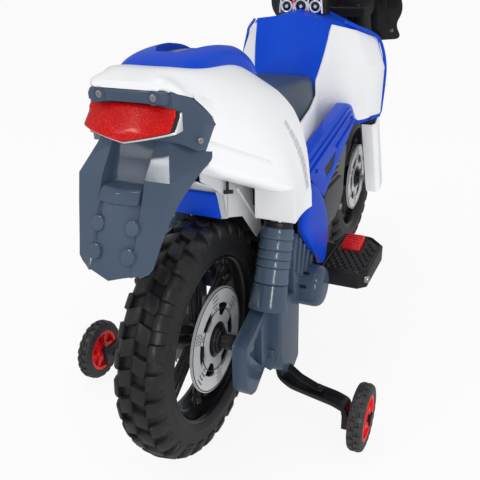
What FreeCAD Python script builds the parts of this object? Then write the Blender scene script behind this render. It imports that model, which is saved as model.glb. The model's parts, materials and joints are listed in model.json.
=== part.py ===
import FreeCAD, Part
import math
import os
import re
import Sketcher

# Kids electric motorbike: a ride-on with a dirt-bike body, a geared motor in the
# left rear fork, a steered front fork and two stabiliser wheels.
# Frame: +X is the driving direction, +Y the rider's left, +Z up.
# The origin is on the floor below the middle of the bounding box. All sizes are millimetres.

SIZES = (
    # overall layout
    ("overall_length", 1065, "nose of the front mudguard to tip of the rear mudguard"),
    ("rear_overhang", 170, "rear mudguard tip behind the rear axle"),
    ("wheelbase", 675, "distance between the two axles"),
    ("wheel_radius", 155, "outer radius of both road wheels"),
    ("rake", 25, "lean of the steering axis in degrees"),
    ("shaft_play", 0.05, "radial running clearance of a shaft in its bore"),
    ("moving_gap", 0.5, "gap between a moving part and the part round it"),
    ("skin", 3, "wall of the moulded shells"),
    # road wheels
    ("tyre_half_width", 30, "half the width of a road tyre"),
    ("tread_height", 6, "height of the tread blocks"),
    ("tread_blocks", 28, "tread blocks round one row"),
    ("tread_share", 0.6, "share of its pitch that a tread block fills at its foot"),
    ("bead_radius", 106, "radius where tyre and rim meet"),
    ("bead_half_width", 24, "half the width of the rim barrel"),
    ("rim_wall", 7, "thickness of the rim barrel"),
    ("spoke_width", 9, "width of one spoke"),
    ("spoke_gap", 20, "distance between the two spokes of a pair"),
    ("spoke_pairs", 6, "pairs of spokes in a wheel"),
    ("hub_radius", 23, "radius of the wheel hub"),
    ("hub_reach", 37, "end of the hub from the middle of the wheel"),
    ("axle_radius", 6, "radius of both axles"),
    ("disc_radius", 68, "outer radius of the imitation brake disc"),
    ("disc_thickness", 3, "thickness of the brake disc"),
    ("disc_seat", 26, "inner face of the brake disc from the middle of the wheel"),
    # drive
    ("gear_module", 2, "module of the drive gears"),
    ("gear_teeth", 50, "teeth of the gear on the rear wheel"),
    ("pinion_teeth", 12, "teeth of the motor pinion"),
    ("gear_width", 7, "width of the drive gears"),
    ("gear_seat", 33, "inner face of the drive gears from the middle of the wheel"),
    ("gear_backlash", 0.6, "thinning of every tooth at the pitch circle"),
    ("motor_radius", 15, "radius of the motor can"),
    ("motor_length", 42, "length of the motor can"),
    ("motor_shaft", 2, "radius of the motor shaft"),
    # rear fork and stabilisers
    ("fork_inner", 42, "inner face of the rear fork from the middle of the bike"),
    ("fork_step", 68, "outer face of the rear fork at the axle"),
    ("fork_rim", 77, "outer face of the rim round the rear fork arm"),
    ("fork_arm_wall", 12, "thickness of the rear fork at the axle"),
    ("fork_outer", 92, "outer face of the rear fork at the front block"),
    ("boot_offset", 76, "distance of the ribbed boot from the middle of the bike"),
    ("boot_radius", 22.5, "outer radius of the ribbed boot"),
    ("boot_lean", 20, "forward lean of the boot in degrees"),
    ("stabiliser_radius", 45, "outer radius of a stabiliser wheel"),
    ("stabiliser_offset", 205, "middle of a stabiliser wheel from the middle of the bike"),
    ("stabiliser_width", 20, "width of a stabiliser wheel"),
    ("stabiliser_x", 57.5, "stabiliser axle ahead of the rear axle"),
    ("stabiliser_bolt", 5, "radius of a stabiliser axle bolt"),
    ("bracket_width", 26, "width of the stabiliser bracket"),
    # body
    ("chassis_half_width", 40, "half the width of the chassis box"),
    ("tail_half_width", 110, "widest half width of the tail cover"),
    ("tank_half_width", 122, "widest half width of the tank"),
    ("shroud_thickness", 3.5, "thickness of the tank shrouds"),
    ("cowl_half_width", 46, "half the width of the seat cowl"),
    ("cowl_rim", 9, "width of the rim round the cowl recess"),
    ("cowl_depth", 8, "depth of the cowl recess"),
    ("spar_inner", 78, "inner face of the side spar"),
    ("spar_outer", 95, "outer face of the side spar"),
    ("cover_inner", 94, "inner face of the lower side cover"),
    ("cover_outer", 105, "outer face of the lower side cover"),
    ("engine_outer", 66, "outer face of the imitation engine"),
    ("step_inner", 95, "inner edge of the footrest tread"),
    ("step_outer", 165, "outer edge of the footrest tread"),
    ("step_height", 170, "top of the footrest tread"),
    ("pedal_length", 35, "length of the accelerator pedal"),
    ("pedal_width", 30, "width of the accelerator pedal"),
    ("pedal_rise", 10, "pedal top above the footrest tread"),
    ("button_radius", 8, "radius of the horn button"),
    ("socket_radius", 2.75, "radius of the charging socket bore"),
    ("socket_depth", 9, "depth of the charging socket bore"),
    # front end
    ("stem_radius", 12, "radius of the steering stem"),
    ("head_radius", 20, "outer radius of the head tube"),
    ("head_low", 287, "lower end of the head tube, along the steering axis from the front axle"),
    ("head_high", 373, "upper end of the head tube along the steering axis"),
    ("clamp_low", 262, "lower face of the lower clamp along the steering axis"),
    ("clamp_thickness", 16, "thickness of both clamps"),
    ("clamp_high", 385, "lower face of the upper clamp along the steering axis"),
    ("leg_offset", 62, "distance of a fork leg from the middle of the bike"),
    ("leg_radius", 13.5, "radius of the upper fork tube"),
    ("slider_radius", 15.5, "radius of the lower fork leg"),
    ("guard_thickness", 3, "thickness of the fork guard"),
    ("bar_radius", 11, "radius of the handlebar"),
    ("bar_half_width", 255, "half the width over the handlebar"),
    ("bar_height", 664, "height of the grips above the floor"),
    ("grip_radius", 15.5, "radius of a handlebar grip"),
    ("grip_length", 112, "length of a handlebar grip"),
    ("mask_half_width", 121, "half the width of the front mask"),
)

doc = FreeCAD.newDocument("kids_motorbike")
sheet = doc.addObject("Spreadsheet::Sheet", "Sizes")
for row, (alias, value, note) in enumerate(SIZES, 1):
    sheet.set(f"A{row}", note)
    sheet.set(f"B{row}", str(value))
    sheet.setAlias(f"B{row}", alias)
doc.recompute()
ALIASES = {alias for alias, value, note in SIZES}
NODES = []
Vector = FreeCAD.Vector

# Positions that follow from the sizes above
REAR = "(rear_overhang - overall_length / 2)"
FRONT = f"({REAR} + wheelbase)"
GEAR_CENTRES = "(gear_module * (gear_teeth + pinion_teeth) / 2)"
PINION_ANGLE = -10


def size(text):
    """Value of an expression over the sheet."""
    return float(sheet.evalExpression(text))


def linked(text):
    """The same expression as other objects of the document read it."""
    return re.sub(r"[a-z_]{2,}", lambda m: "Sizes." + m.group() if m.group() in ALIASES else m.group(), text)


def bind(item, prop, text):
    item.setExpression(prop, linked(text))


def put(item, x="0", y="0", z="0"):
    """Tie an object's position to the sheet."""
    for axis, text in zip("xyz", (x, y, z)):
        bind(item, f".Placement.Base.{axis}", text)


def back(distance):
    """A place along the bike, measured forward from the rear axle."""
    return f"({REAR} + {distance})"


def ahead(distance):
    """A place along the bike, measured forward from the front axle."""
    return f"({FRONT} + {distance})"


def keep(item, node):
    """Register a finished sub-part under its node name."""
    item.Label = node
    NODES.append(item)
    return item


def plane(body, role):
    return [item for item in body.Origin.OriginFeatures if item.Role == role][0]


def sketch_on(body, role, lift="0"):
    sketch = body.newObject("Sketcher::SketchObject", body.Name + "_sketch")
    sketch.AttachmentSupport = [(plane(body, role), "")]
    sketch.MapMode = "FlatFace"
    bind(sketch, ".AttachmentOffset.Base.z", lift)
    return sketch


def outline(sketch, corners):
    """Closed line outline with every corner tied to the sheet."""
    first = sketch.GeometryCount
    count = len(corners)
    points = [Vector(size(across), size(up), 0) for across, up in corners]
    for i in range(count):
        sketch.addGeometry(Part.LineSegment(points[i], points[(i + 1) % count]))
    rules = [Sketcher.Constraint("Coincident", first + i, 2, first + (i + 1) % count, 1) for i in range(count)]
    texts = [None] * count
    for i, (across, up) in enumerate(corners):
        for kind, value, text, axis in (("DistanceX", points[i].x, across, -2), ("DistanceY", points[i].y, up, -1)):
            if abs(value) < 1e-9:
                rules.append(Sketcher.Constraint("PointOnObject", first + i, 1, axis))
                texts.append(None)
            else:
                rules.append(Sketcher.Constraint(kind, -1, 1, first + i, 1, value))
                texts.append(text)
    for number, text in zip(sketch.addConstraint(rules), texts):
        if text:
            bind(sketch, f"Constraints[{number}]", text)


def loose_outline(sketch, points):
    """Closed line outline through computed points, such as gear teeth."""
    vectors = [Vector(across, up, 0) for across, up in points]
    for start, end in zip(vectors, vectors[1:] + vectors[:1]):
        sketch.addGeometry(Part.LineSegment(start, end))


def new_body(name):
    return doc.addObject("PartDesign::Body", name)


def pad(body, sketch, length, reverse=False):
    feature = body.newObject("PartDesign::Pad", body.Name + "_pad")
    feature.Profile = sketch
    bind(feature, "Length", length)
    feature.Reversed = reverse
    return feature


def plate(name, corners, inner, outer):
    """Side-view outline padded from inner to outer on the bike's right."""
    body = new_body(name)
    sketch = sketch_on(body, "XZ_Plane", inner)
    outline(sketch, corners)
    pad(body, sketch, f"({outer}) - ({inner})")
    return body


def slab(name, corners, low, high):
    """Plan outline padded from low to high."""
    body = new_body(name)
    sketch = sketch_on(body, "XY_Plane", low)
    outline(sketch, corners)
    pad(body, sketch, f"({high}) - ({low})")
    return body


def turned(name, profile, role="XY_Plane", axis="V_Axis"):
    """Closed half profile turned about a sketch axis."""
    body = new_body(name)
    sketch = sketch_on(body, role)
    outline(sketch, profile)
    feature = body.newObject("PartDesign::Revolution", name + "_turn")
    feature.Profile = sketch
    feature.ReferenceAxis = (sketch, [axis])
    feature.Angle = 360
    return body


def block(name, x, y, z, length, width, height):
    item = doc.addObject("Part::Box", name)
    bind(item, "Length", length)
    bind(item, "Width", width)
    bind(item, "Height", height)
    put(item, x, y, z)
    return item


def rod(name, radius, length, x="0", y="0", z="0", turn=None):
    """Cylinder along +Z, or along +Y or +X when turned."""
    item = doc.addObject("Part::Cylinder", name)
    bind(item, "Radius", radius)
    bind(item, "Height", length)
    if turn == "Y":
        item.Placement.Rotation = FreeCAD.Rotation(Vector(1, 0, 0), -90)
    if turn == "X":
        item.Placement.Rotation = FreeCAD.Rotation(Vector(0, 1, 0), 90)
    put(item, x, y, z)
    return item


def cut(name, base, *tools):
    for number, tool in enumerate(tools, 1):
        item = doc.addObject("Part::Cut", name if number == len(tools) else f"{name}_cut")
        item.Base = base
        item.Tool = tool
        base = item
    return base


def fuse(name, *pieces):
    item = doc.addObject("Part::MultiFuse", name)
    item.Shapes = list(pieces)
    item.Refine = True
    return item


def overlap(name, *pieces):
    item = doc.addObject("Part::MultiCommon", name)
    item.Shapes = list(pieces)
    return item


def group(name, *pieces):
    """Loose pieces that share one node."""
    item = doc.addObject("Part::Compound", name)
    item.Links = list(pieces)
    return item


def mirrored(source, name):
    item = doc.addObject("Part::Mirroring", name)
    item.Source = source
    item.Normal = Vector(0, 1, 0)
    return item


def on_steering(item, lift="0", aside="0", forward="0"):
    """Place an object that is drawn along +Z onto the leaning steering axis."""
    bind(item, ".Placement.Rotation.Angle", "-rake")
    item.Placement.Rotation = FreeCAD.Rotation(Vector(0, 1, 0), -size("rake"))
    put(item, f"{FRONT} - ({lift}) * sin(rake) + ({forward}) * cos(rake)", aside,
        f"wheel_radius + ({lift}) * cos(rake) + ({forward}) * sin(rake)")
    return item


def arch(body, station, half, wall=0.0, drop=0.0):
    """Cross-section across the bike: a smooth arch closed by a straight foot."""
    points = inset(half, wall)
    points[-1] = (points[-1][0], points[-1][1] - drop)
    ring = [Vector(-y, z, 0) for y, z in reversed(points)] + [Vector(y, z, 0) for y, z in points[1:]]
    sketch = sketch_on(body, "YZ_Plane", station)
    curve = Part.BSplineCurve()
    curve.interpolate(ring)
    sketch.addGeometry(curve)
    sketch.addGeometry(Part.LineSegment(ring[-1], ring[0]))
    return sketch


def frame_section(body, station, half, wall=0.0, drop=0.0):
    """Cross-section across the bike with straight edges and crisp creases."""
    points = inset(half, wall)
    points[-1] = (points[-1][0], points[-1][1] - drop)
    sketch = sketch_on(body, "YZ_Plane", station)
    loose_outline(sketch, [(-y, z) for y, z in reversed(points[1:])] + list(points))
    return sketch


def inset(half, wall):
    """Move a half section, top middle to foot, inwards by a wall thickness."""
    moved = []
    for i, (y, z) in enumerate(half):
        before = half[max(i - 1, 0)]
        after = half[min(i + 1, len(half) - 1)]
        if i == 0:
            before = (-half[1][0], half[1][1])
        across, up = after[0] - before[0], after[1] - before[1]
        length = math.hypot(across, up)
        moved.append((y + up / length * wall, z - across / length * wall))
    return moved


def loft(name, sections, maker, wall=0.0, drop=0.0, width="1", ruled=False):
    """Body lofted through cross-sections given as (station, half outline)."""
    body = new_body(name)
    scale = size(width)
    stations = [maker(body, back(station), [(y * scale, z) for y, z in half], wall, drop) for station, half in sections]
    feature = body.newObject("PartDesign::AdditiveLoft", name + "_loft")
    feature.Profile = stations[0]
    feature.Sections = stations[1:]
    feature.Ruled = ruled
    return body


# Road wheels

def block_ring(inner, outer, count, share, phase):
    """Gear-like ring outline for one row of tread blocks."""
    points = []
    for i in range(count):
        middle = 2 * math.pi * (i + phase) / count
        half = math.pi / count * share
        for angle, radius in ((middle - half, inner), (middle - half * 0.9, outer),
                              (middle + half * 0.9, outer), (middle + half, inner)):
            points.append((radius * math.cos(angle), radius * math.sin(angle)))
    return points


def road_tyre(node, x):
    carcass = "(wheel_radius - tread_height)"
    profile = [("bead_radius", "-bead_half_width"), ("bead_radius + 4", "-bead_half_width - 3"),
               (f"{carcass} - 24", "-tyre_half_width"), (f"{carcass} - 11", "-tyre_half_width + 2"),
               (f"{carcass} - 2", "-tyre_half_width + 12"), (carcass, "-4")]
    profile += [(radius, f"-({across})") for radius, across in reversed(profile)]
    body = turned(node, profile)
    count = int(size("tread_blocks"))
    low = size("wheel_radius - tread_height") - 3
    high = size("wheel_radius")
    rows = ((1.2, 15, low, high, 0.0), (-15, 13.8, low, high, 0.5),
            (17, 10.5, low - 10, high - 4, 0.5), (-27.5, 10.5, low - 10, high - 4, 0.0))
    for start, width, inner, outer, phase in rows:
        sketch = sketch_on(body, "XZ_Plane", f"{-start} * tyre_half_width / 30")
        loose_outline(sketch, block_ring(inner, outer, count, size("tread_share"), phase))
        loose_outline(sketch, block_ring(inner - 5, inner - 4.9, 24, 1.0, 0)[::4])
        pad(body, sketch, f"{width} * tyre_half_width / 30", True)
    put(body, x, "0", "wheel_radius")
    return keep(body, node)


def road_rim(node, x):
    barrel = [("bead_radius", "-bead_half_width"), ("bead_radius", "bead_half_width"),
              ("bead_radius - rim_wall + 3", "bead_half_width"), ("bead_radius - rim_wall", "bead_half_width - 8"),
              ("bead_radius - rim_wall", "-bead_half_width + 8"), ("bead_radius - rim_wall + 3", "-bead_half_width")]
    body = turned(node + "_barrel", barrel)
    hub = turned(node + "_hub", [("axle_radius + shaft_play", "-hub_reach"), ("hub_radius - 7", "-hub_reach"),
                                 ("hub_radius - 7", "-disc_seat - disc_thickness - 3"),
                                 ("hub_radius", "-disc_seat - disc_thickness"),
                                 ("hub_radius", "gear_seat + gear_width"),
                                 ("axle_radius + shaft_play", "gear_seat + gear_width")])
    spokes = new_body(node + "_spokes")
    sketch = sketch_on(spokes, "XZ_Plane", "-spoke_width / 2 - 1")
    inner, outer = size("hub_radius") - 3, size("bead_radius - rim_wall") + 2
    half, gap = size("spoke_width") / 2, size("spoke_gap") / 2
    pairs = int(size("spoke_pairs"))
    for i in range(pairs):
        turn = 2 * math.pi * (i + 0.5) / pairs
        for side in (-1, 1):
            corners = []
            for along, across in ((inner, side * (gap * 0.55) - half), (outer, side * gap - half),
                                  (outer, side * gap + half), (inner, side * (gap * 0.55) + half)):
                corners.append((along * math.cos(turn) - across * math.sin(turn),
                                along * math.sin(turn) + across * math.cos(turn)))
            loose_outline(sketch, corners)
    pad(spokes, sketch, "spoke_width + 2")
    whole = fuse(node, body, hub, spokes)
    put(whole, x, "0", "wheel_radius")
    return keep(whole, node)


def brake_disc(node, x, side):
    """Imitation brake disc: a ring on six arms, on the right or the left of a wheel."""
    body = new_body(node)
    near = "disc_seat" if side < 0 else "-(disc_seat + disc_thickness)"
    sketch = sketch_on(body, "XZ_Plane", near)
    outer, inner = size("disc_radius"), size("hub_radius")
    sketch.addGeometry(Part.Circle(Vector(0, 0, 0), Vector(0, 0, 1), outer))
    sketch.addGeometry(Part.Circle(Vector(0, 0, 0), Vector(0, 0, 1), inner))
    for i in range(6):
        middle = math.pi / 3 * i
        ring = [(outer * 0.70, middle - 0.36 + 0.09 * k) for k in range(9)]
        ring += [(inner + 8, middle + 0.24 - 0.12 * k) for k in range(5)]
        loose_outline(sketch, [(radius * math.cos(a), radius * math.sin(a)) for radius, a in ring])
    pad(body, sketch, "disc_thickness")
    put(body, x, "0", "wheel_radius")
    return keep(body, node)


road_tyre("rear_tyre", REAR)
road_rim("rear_rim", REAR)
brake_disc("rear_disc", REAR, -1)
road_tyre("front_tyre", FRONT)
road_rim("front_rim", FRONT)
brake_disc("front_disc", FRONT, -1)

# Drive gears


def gear_outline(teeth, start):
    """Involute teeth of a spur gear, with one tooth centred on the start angle."""
    module = size("gear_module")
    pitch = module * teeth / 2
    base = pitch * math.cos(math.radians(20))
    tip, root = pitch + module * 0.9, pitch - module * 1.25
    half_tooth = (math.pi * module / 2 - size("gear_backlash")) / (2 * pitch)
    pitch_roll = math.tan(math.radians(20)) - math.radians(20)
    flank = []
    for step in range(6):
        radius = max(base, root) + (tip - max(base, root)) * step / 5
        roll = math.sqrt(max((radius / base) ** 2 - 1, 0))
        flank.append((radius, half_tooth + pitch_roll - (roll - math.atan(roll))))
    if root < base:
        flank.insert(0, (root, flank[0][1]))
    points = []
    for i in range(teeth):
        middle = start + 2 * math.pi * i / teeth
        for radius, half in flank:
            points.append((radius * math.cos(middle - half), radius * math.sin(middle - half)))
        for radius, half in reversed(flank):
            points.append((radius * math.cos(middle + half), radius * math.sin(middle + half)))
    return points


def spur_gear(name, teeth, start, hole):
    body = new_body(name)
    sketch = sketch_on(body, "XZ_Plane", "-gear_seat")
    loose_outline(sketch, gear_outline(teeth, start))
    if hole:
        sketch.addGeometry(Part.Circle(Vector(0, 0, 0), Vector(0, 0, 1), hole))
    pad(body, sketch, "gear_width", True)
    return body


PINION_X = f"({REAR} + {GEAR_CENTRES} * cos({PINION_ANGLE}))"
PINION_Z = f"(wheel_radius + {GEAR_CENTRES} * sin({PINION_ANGLE}))"
wheel_teeth = int(size("gear_teeth"))
pinion_teeth = int(size("pinion_teeth"))
mesh = math.radians(PINION_ANGLE)
drive_gear = spur_gear("drive_gear", wheel_teeth, mesh, size("hub_radius"))
put(drive_gear, REAR, "0", "wheel_radius")
keep(drive_gear, "drive_gear")
pinion_gear = spur_gear("pinion_gear", pinion_teeth, mesh + math.pi + math.pi / pinion_teeth, 0)
put(pinion_gear, PINION_X, "0", PINION_Z)
pinion_shaft = rod("pinion_shaft", "motor_shaft", "20", PINION_X, "gear_seat + gear_width - 1", PINION_Z, "Y")
keep(fuse("motor_pinion", pinion_gear, pinion_shaft), "motor_pinion")
motor_can = rod("motor_can", "motor_radius", "motor_length", PINION_X, "fork_inner + 2", PINION_Z, "Y")
motor_bore = rod("motor_bore", "motor_shaft + shaft_play", "24", PINION_X, "fork_inner + 1", PINION_Z, "Y")
keep(cut("drive_motor", motor_can, motor_bore), "drive_motor")

# Rear axle, fork castings and ribbed boots

axle_length = "(2 * fork_step + 16)"
keep(rod("rear_axle", "axle_radius", axle_length, REAR, f"-{axle_length} / 2", "wheel_radius", "Y"), "rear_axle")

ARM = [(-18, 163), (-18, 102), (-6, 86), (10, 81), (38, 97), (64, 112), (64, 191)]
ARM_RECESS = [(-11, 146), (30, 170), (32, 105)]
BLOCK = [(56, 112), (70, 78), (94, 58), (134, 58), (134, 152), (112, 176), (58, 196)]
SHOULDER = [(112, 176), (134, 152), (190, 196), (188, 204), (150, 240), (120, 262), (108, 240)]
NECK = [(128, 150), (200, 150), (200, 190), (128, 176)]
BOOT_FOOT_X, BOOT_FOOT_Z = back(52), "180"


def side_points(points):
    return [(back(u), str(z)) for u, z in points]


def leaning(item, lift="0"):
    """Stand an upright piece on the foot of the boot, leaning forward."""
    item.Placement.Rotation = FreeCAD.Rotation(Vector(0, 1, 0), size("boot_lean"))
    bind(item, ".Placement.Rotation.Angle", "boot_lean")
    put(item, f"{BOOT_FOOT_X} + ({lift}) * sin(boot_lean)", "-boot_offset",
        f"{BOOT_FOOT_Z} + ({lift}) * cos(boot_lean)")
    return item


fork_solid = fuse(
    "fork_solid",
    cut("fork_arm", plate("fork_arm_solid", side_points(ARM), "fork_step - fork_arm_wall", "fork_rim"),
        plate("fork_arm_recess", side_points(ARM_RECESS), "fork_step", "fork_rim + 1"),
        rod("fork_nut_well", "axle_radius + 4.5", "50", REAR, "-fork_step - 50", "wheel_radius", "Y")),
    plate("fork_block", side_points(BLOCK), "fork_inner + 12", "fork_outer"),
    plate("fork_shoulder", side_points(SHOULDER), "fork_inner + 20", "fork_outer"),
    leaning(rod("fork_collar", "boot_radius + 1", "34"), "-14"),
    rod("fork_barrel", "29.5", "46", back(160), "-fork_outer - 28", "167", "Y"),
    plate("fork_neck", side_points(NECK), "chassis_half_width", "fork_outer"))
axle_hole = rod("fork_axle_hole", "axle_radius", "200", REAR, "-100", "wheel_radius", "Y")
fork_right = keep(cut("rear_fork_right", fork_solid, axle_hole), "rear_fork_right")
motor_seat = rod("motor_seat", "motor_radius", "motor_length + 3", PINION_X, "fork_inner - 1", PINION_Z, "Y")
keep(cut("rear_fork_left", mirrored(fork_right, "fork_left_solid"), motor_seat), "rear_fork_left")

RIBS = 6
boot_profile = [("boot_radius - 11", "20"), ("boot_radius", "20"), ("boot_radius", "36"),
                ("boot_radius - 2.5", "37"), ("boot_radius - 2.5", "54"), ("boot_radius - 4", "55")]
for rib in range(RIBS):
    start = round(56 + rib * 8.2, 1)
    boot_profile += [("boot_radius - 4.5", f"{start}"), ("boot_radius - 0.5", f"{start + 2.7:.1f}"),
                     ("boot_radius - 0.5", f"{start + 5.4:.1f}"), ("boot_radius - 4.5", f"{start + 7.8:.1f}")]
boot_profile.append(("boot_radius - 11", "107"))
boot = leaning(turned("fork_boot_right", boot_profile, "XZ_Plane"))
keep(boot, "fork_boot_right")
keep(mirrored(boot, "fork_boot_left"), "fork_boot_left")
tube = leaning(rod("shock_tube_right", "boot_radius - 11", "130"), "20")
keep(group("shock_tubes", tube, mirrored(tube, "shock_tube_left")), "shock_tubes")

# Stabiliser wheels on steel brackets

AXLE_FACE = "(stabiliser_offset - stabiliser_width / 2 - 5)"
STAY = "(stabiliser_x - bracket_width / 2)"
FOOT = 95


def bracket_plan(near, far, narrow):
    """Plan outline of the arm that sweeps back from the fork block to the wheel."""
    return [(back(f"{FOOT} + {narrow}"), f"-({near})"), (back(f"{FOOT} + bracket_width - {narrow}"), f"-({near})"),
            (back(f"{FOOT} + bracket_width - {narrow}"), f"-({near}) - 12"),
            (back(f"{STAY} + bracket_width - {narrow}"), f"-({far})"), (back(f"{STAY} + {narrow}"), f"-({far})"),
            (back(f"{FOOT} + {narrow}"), f"-({near}) - 22")]


bracket = fuse(
    "bracket_solid",
    slab("bracket_arm", bracket_plan("fork_outer - 26", f"{AXLE_FACE} - 6", 0), "48", "58"),
    slab("bracket_rib", bracket_plan("fork_outer + 3", f"{AXLE_FACE} - 6", 8), "58", "64"),
    block("bracket_end", back(STAY), f"-{AXLE_FACE}", "28", "bracket_width", "6", "36"))
bolt_hole = rod("bracket_hole", "stabiliser_bolt", "30", back("stabiliser_x"), f"-{AXLE_FACE} - 10",
                "stabiliser_radius", "Y")
bracket_right = keep(cut("stabiliser_bracket_right", bracket, bolt_hole), "stabiliser_bracket_right")
keep(mirrored(bracket_right, "stabiliser_bracket_left"), "stabiliser_bracket_left")

HALF_SMALL = "(stabiliser_width / 2)"
for side, sign in (("right", "-1"), ("left", "1")):
    small_tyre = turned(f"stabiliser_tyre_{side}", [
        ("stabiliser_radius - 14", f"-{HALF_SMALL}"), ("stabiliser_radius - 4", f"-{HALF_SMALL}"),
        ("stabiliser_radius", f"-{HALF_SMALL} + 4"), ("stabiliser_radius", f"{HALF_SMALL} - 4"),
        ("stabiliser_radius - 4", HALF_SMALL), ("stabiliser_radius - 14", HALF_SMALL)])
    small_hub = turned(f"stabiliser_hub_{side}", [
        ("stabiliser_bolt + shaft_play", f"-{HALF_SMALL} + 1"), ("stabiliser_bolt + 8", f"-{HALF_SMALL} + 1"),
        ("stabiliser_bolt + 9", f"-{HALF_SMALL} + 5"), ("stabiliser_radius - 20", f"-{HALF_SMALL} + 5"),
        ("stabiliser_radius - 18", f"-{HALF_SMALL} + 1"), ("stabiliser_radius - 14", f"-{HALF_SMALL} + 1"),
        ("stabiliser_radius - 14", f"{HALF_SMALL} - 1"), ("stabiliser_radius - 18", f"{HALF_SMALL} - 1"),
        ("stabiliser_radius - 20", f"{HALF_SMALL} - 5"), ("stabiliser_bolt + 9", f"{HALF_SMALL} - 5"),
        ("stabiliser_bolt + 8", f"{HALF_SMALL} - 1"), ("stabiliser_bolt + shaft_play", f"{HALF_SMALL} - 1")])
    for item in (small_tyre, small_hub):
        put(item, back("stabiliser_x"), f"{sign} * stabiliser_offset", "stabiliser_radius")
        keep(item, item.Name)

# Chassis box with the inner fender and the steering neck

MAIN = [(-52, 396), (40, 364), (140, 347), (176, 305), (176, 105), (205, 92), (430, 92), (462, 125), (480, 250),
        (492, 372), (440, 420), (335, 400), (318, 383), (60, 383), (20, 404), (-52, 428)]
CAVITY = [(186, 112), (212, 102), (424, 102), (452, 130), (470, 250), (480, 362), (430, 372), (186, 372)]


def fender_outline(inner, outer, first, last, steps):
    """Band round the rear wheel between two angles."""
    points = []
    for radius, order in ((inner, range(steps + 1)), (outer, range(steps, -1, -1))):
        for i in order:
            angle = first + (last - first) * i / steps
            points.append((f"{REAR} + ({radius}) * cos({angle})", f"wheel_radius + ({radius}) * sin({angle})"))
    return points


def neck_point(lift, forward):
    return (f"{FRONT} - ({lift}) * sin(rake) + ({forward}) * cos(rake)",
            f"wheel_radius + ({lift}) * cos(rake) + ({forward}) * sin(rake)")


neck = plate("chassis_neck", [neck_point("head_low", "-30"), neck_point("head_low", "head_radius + 7"),
                              neck_point("head_high", "head_radius + 7"), neck_point("head_high", "-30"),
                              (back(400), "440"), (back(400), "400")], "-27", "27")
ear = plate("chassis_ear", side_points([(88, 306), (116, 306), (116, 362), (88, 362)]), "chassis_half_width - 4", "boot_offset + 3")
chassis_solid = fuse(
    "chassis_solid",
    plate("chassis_main", side_points(MAIN), "-chassis_half_width", "chassis_half_width"),
    neck,
    plate("chassis_fender", fender_outline("wheel_radius + 11", "wheel_radius + 15", 25, 85, 8), "-36", "36"),
    plate("chassis_link", side_points([(141, 246), (180, 246), (180, 262), (133, 262)]), "-36", "36"),
    ear, mirrored(ear, "chassis_ear_left"))
chassis_cavity = plate("chassis_cavity", side_points(CAVITY), "-chassis_half_width + skin", "chassis_half_width - skin")
head_bore = on_steering(rod("head_bore", "head_radius", "200"), "head_low - 40")
chassis = keep(cut("chassis", chassis_solid, chassis_cavity, head_bore, doc.getObject("shock_tubes")), "chassis")
head_outer = on_steering(rod("head_outer", "head_radius", "head_high - head_low"), "head_low")
head_inner = on_steering(rod("head_inner", "stem_radius + shaft_play", "300"), "head_low - 50")
keep(cut("head_tube", head_outer, head_inner), "head_tube")
keep(block("battery", back(260), "-24", "102", "70", "48", "100"), "battery")
keep(block("control_board", back(350), "-25", "102", "60", "50", "5"), "control_board")

# Tail cover: a smooth shell on two legs

TAIL = [(-110, [(0, 494), (20, 494), (33, 492), (37, 490), (36, 488.5), (34, 487)]),
        (-101, [(0, 499), (24, 499), (40, 495), (45, 491), (45, 487), (43, 484)]),
        (-60, [(0, 500), (30, 500), (52, 494), (62, 472), (64, 440), (62, 405)]),
        (0, [(0, 496), (35, 496), (62, 485), (80, 450), (87, 410), (87, 365)]),
        (60, [(0, 484), (35, 483), (66, 468), (92, 430), (104, 385), (109, 300)]),
        (122, [(0, 470), (40, 468), (72, 452), (98, 415), (107, 370), (110, 300)])]
LAMP_EDGE = [(-125, 482), (-101, 484), (-62, 470), (-57, 448), (-72, 412)]
TAIL_SIDE = [(-125, 515)] + LAMP_EDGE + [(57, 347), (57, 302),
             (121, 302), (121, 322), (112, 360), (102, 395), (97, 430), (88, 452), (68, 472), (68, 515)]
TAIL_WIDTH = "tail_half_width / 110"
tail_form = loft("tail_form", TAIL, arch, width=TAIL_WIDTH)
TAIL_HOLLOW = [(-93, TAIL[1][1])] + TAIL[2:-1] + [(128, TAIL[-1][1])]
tail_core = loft("tail_core", TAIL_HOLLOW, arch, size("skin"), 6, TAIL_WIDTH)
tail_side = plate("tail_side", side_points(TAIL_SIDE), "-200", "200")
leg_box = block("leg_box", back(57), "-140", "302", "64", "280", "78")
leg_room = block("leg_room", back("57 + skin"), "-tail_half_width + 7", "290", "80",
                 "2 * (tail_half_width - 7)", "100")
wheel_space = block("wheel_space", back(40), "-58", "250", "60", "116", "200")
keep(fuse("tail_cover",
          overlap("tail_skin", cut("tail_shell", tail_form, tail_core), tail_side),
          overlap("tail_legs", tail_form, tail_side, cut("leg_walls", leg_box, leg_room, wheel_space))), "tail_cover")

# Seat, seat cowl and the dished insert of the cowl

SEAT = [(72, [(0, 478), (24, 477), (46, 470), (66, 448), (78, 415), (82, 388)]),
        (150, [(0, 452), (26, 451), (46, 446), (60, 430), (69, 408), (72, 388)]),
        (230, [(0, 440), (26, 439.5), (44, 436), (55, 422), (63, 404), (66, 388)]),
        (306, [(0, 430), (26, 429.5), (42, 427), (47, 416), (49, 402), (50, 388)])]
COWL = [(-64, [(0, 501), (20, 501), (36, 498), (41, 494), (42, 486)]),
        (-46, [(0, 507), (24, 506.5), (40, 502), (45, 495), (46, 478)]),
        (20, [(0, 512), (26, 511), (40, 506), (46, 496), (47, 460)]),
        (62, [(0, 506), (26, 505), (40, 499), (46, 489), (47, 450)]),
        (98, [(0, 490), (26, 488), (38, 482), (44, 472), (45, 445)])]
DISH = [(-32, 12), (-10, 24), (40, 33), (80, 32), (86, 24)]
COWL_WIDTH = "cowl_half_width / 46"
seat_form = loft("seat_form", SEAT, arch)
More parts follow.
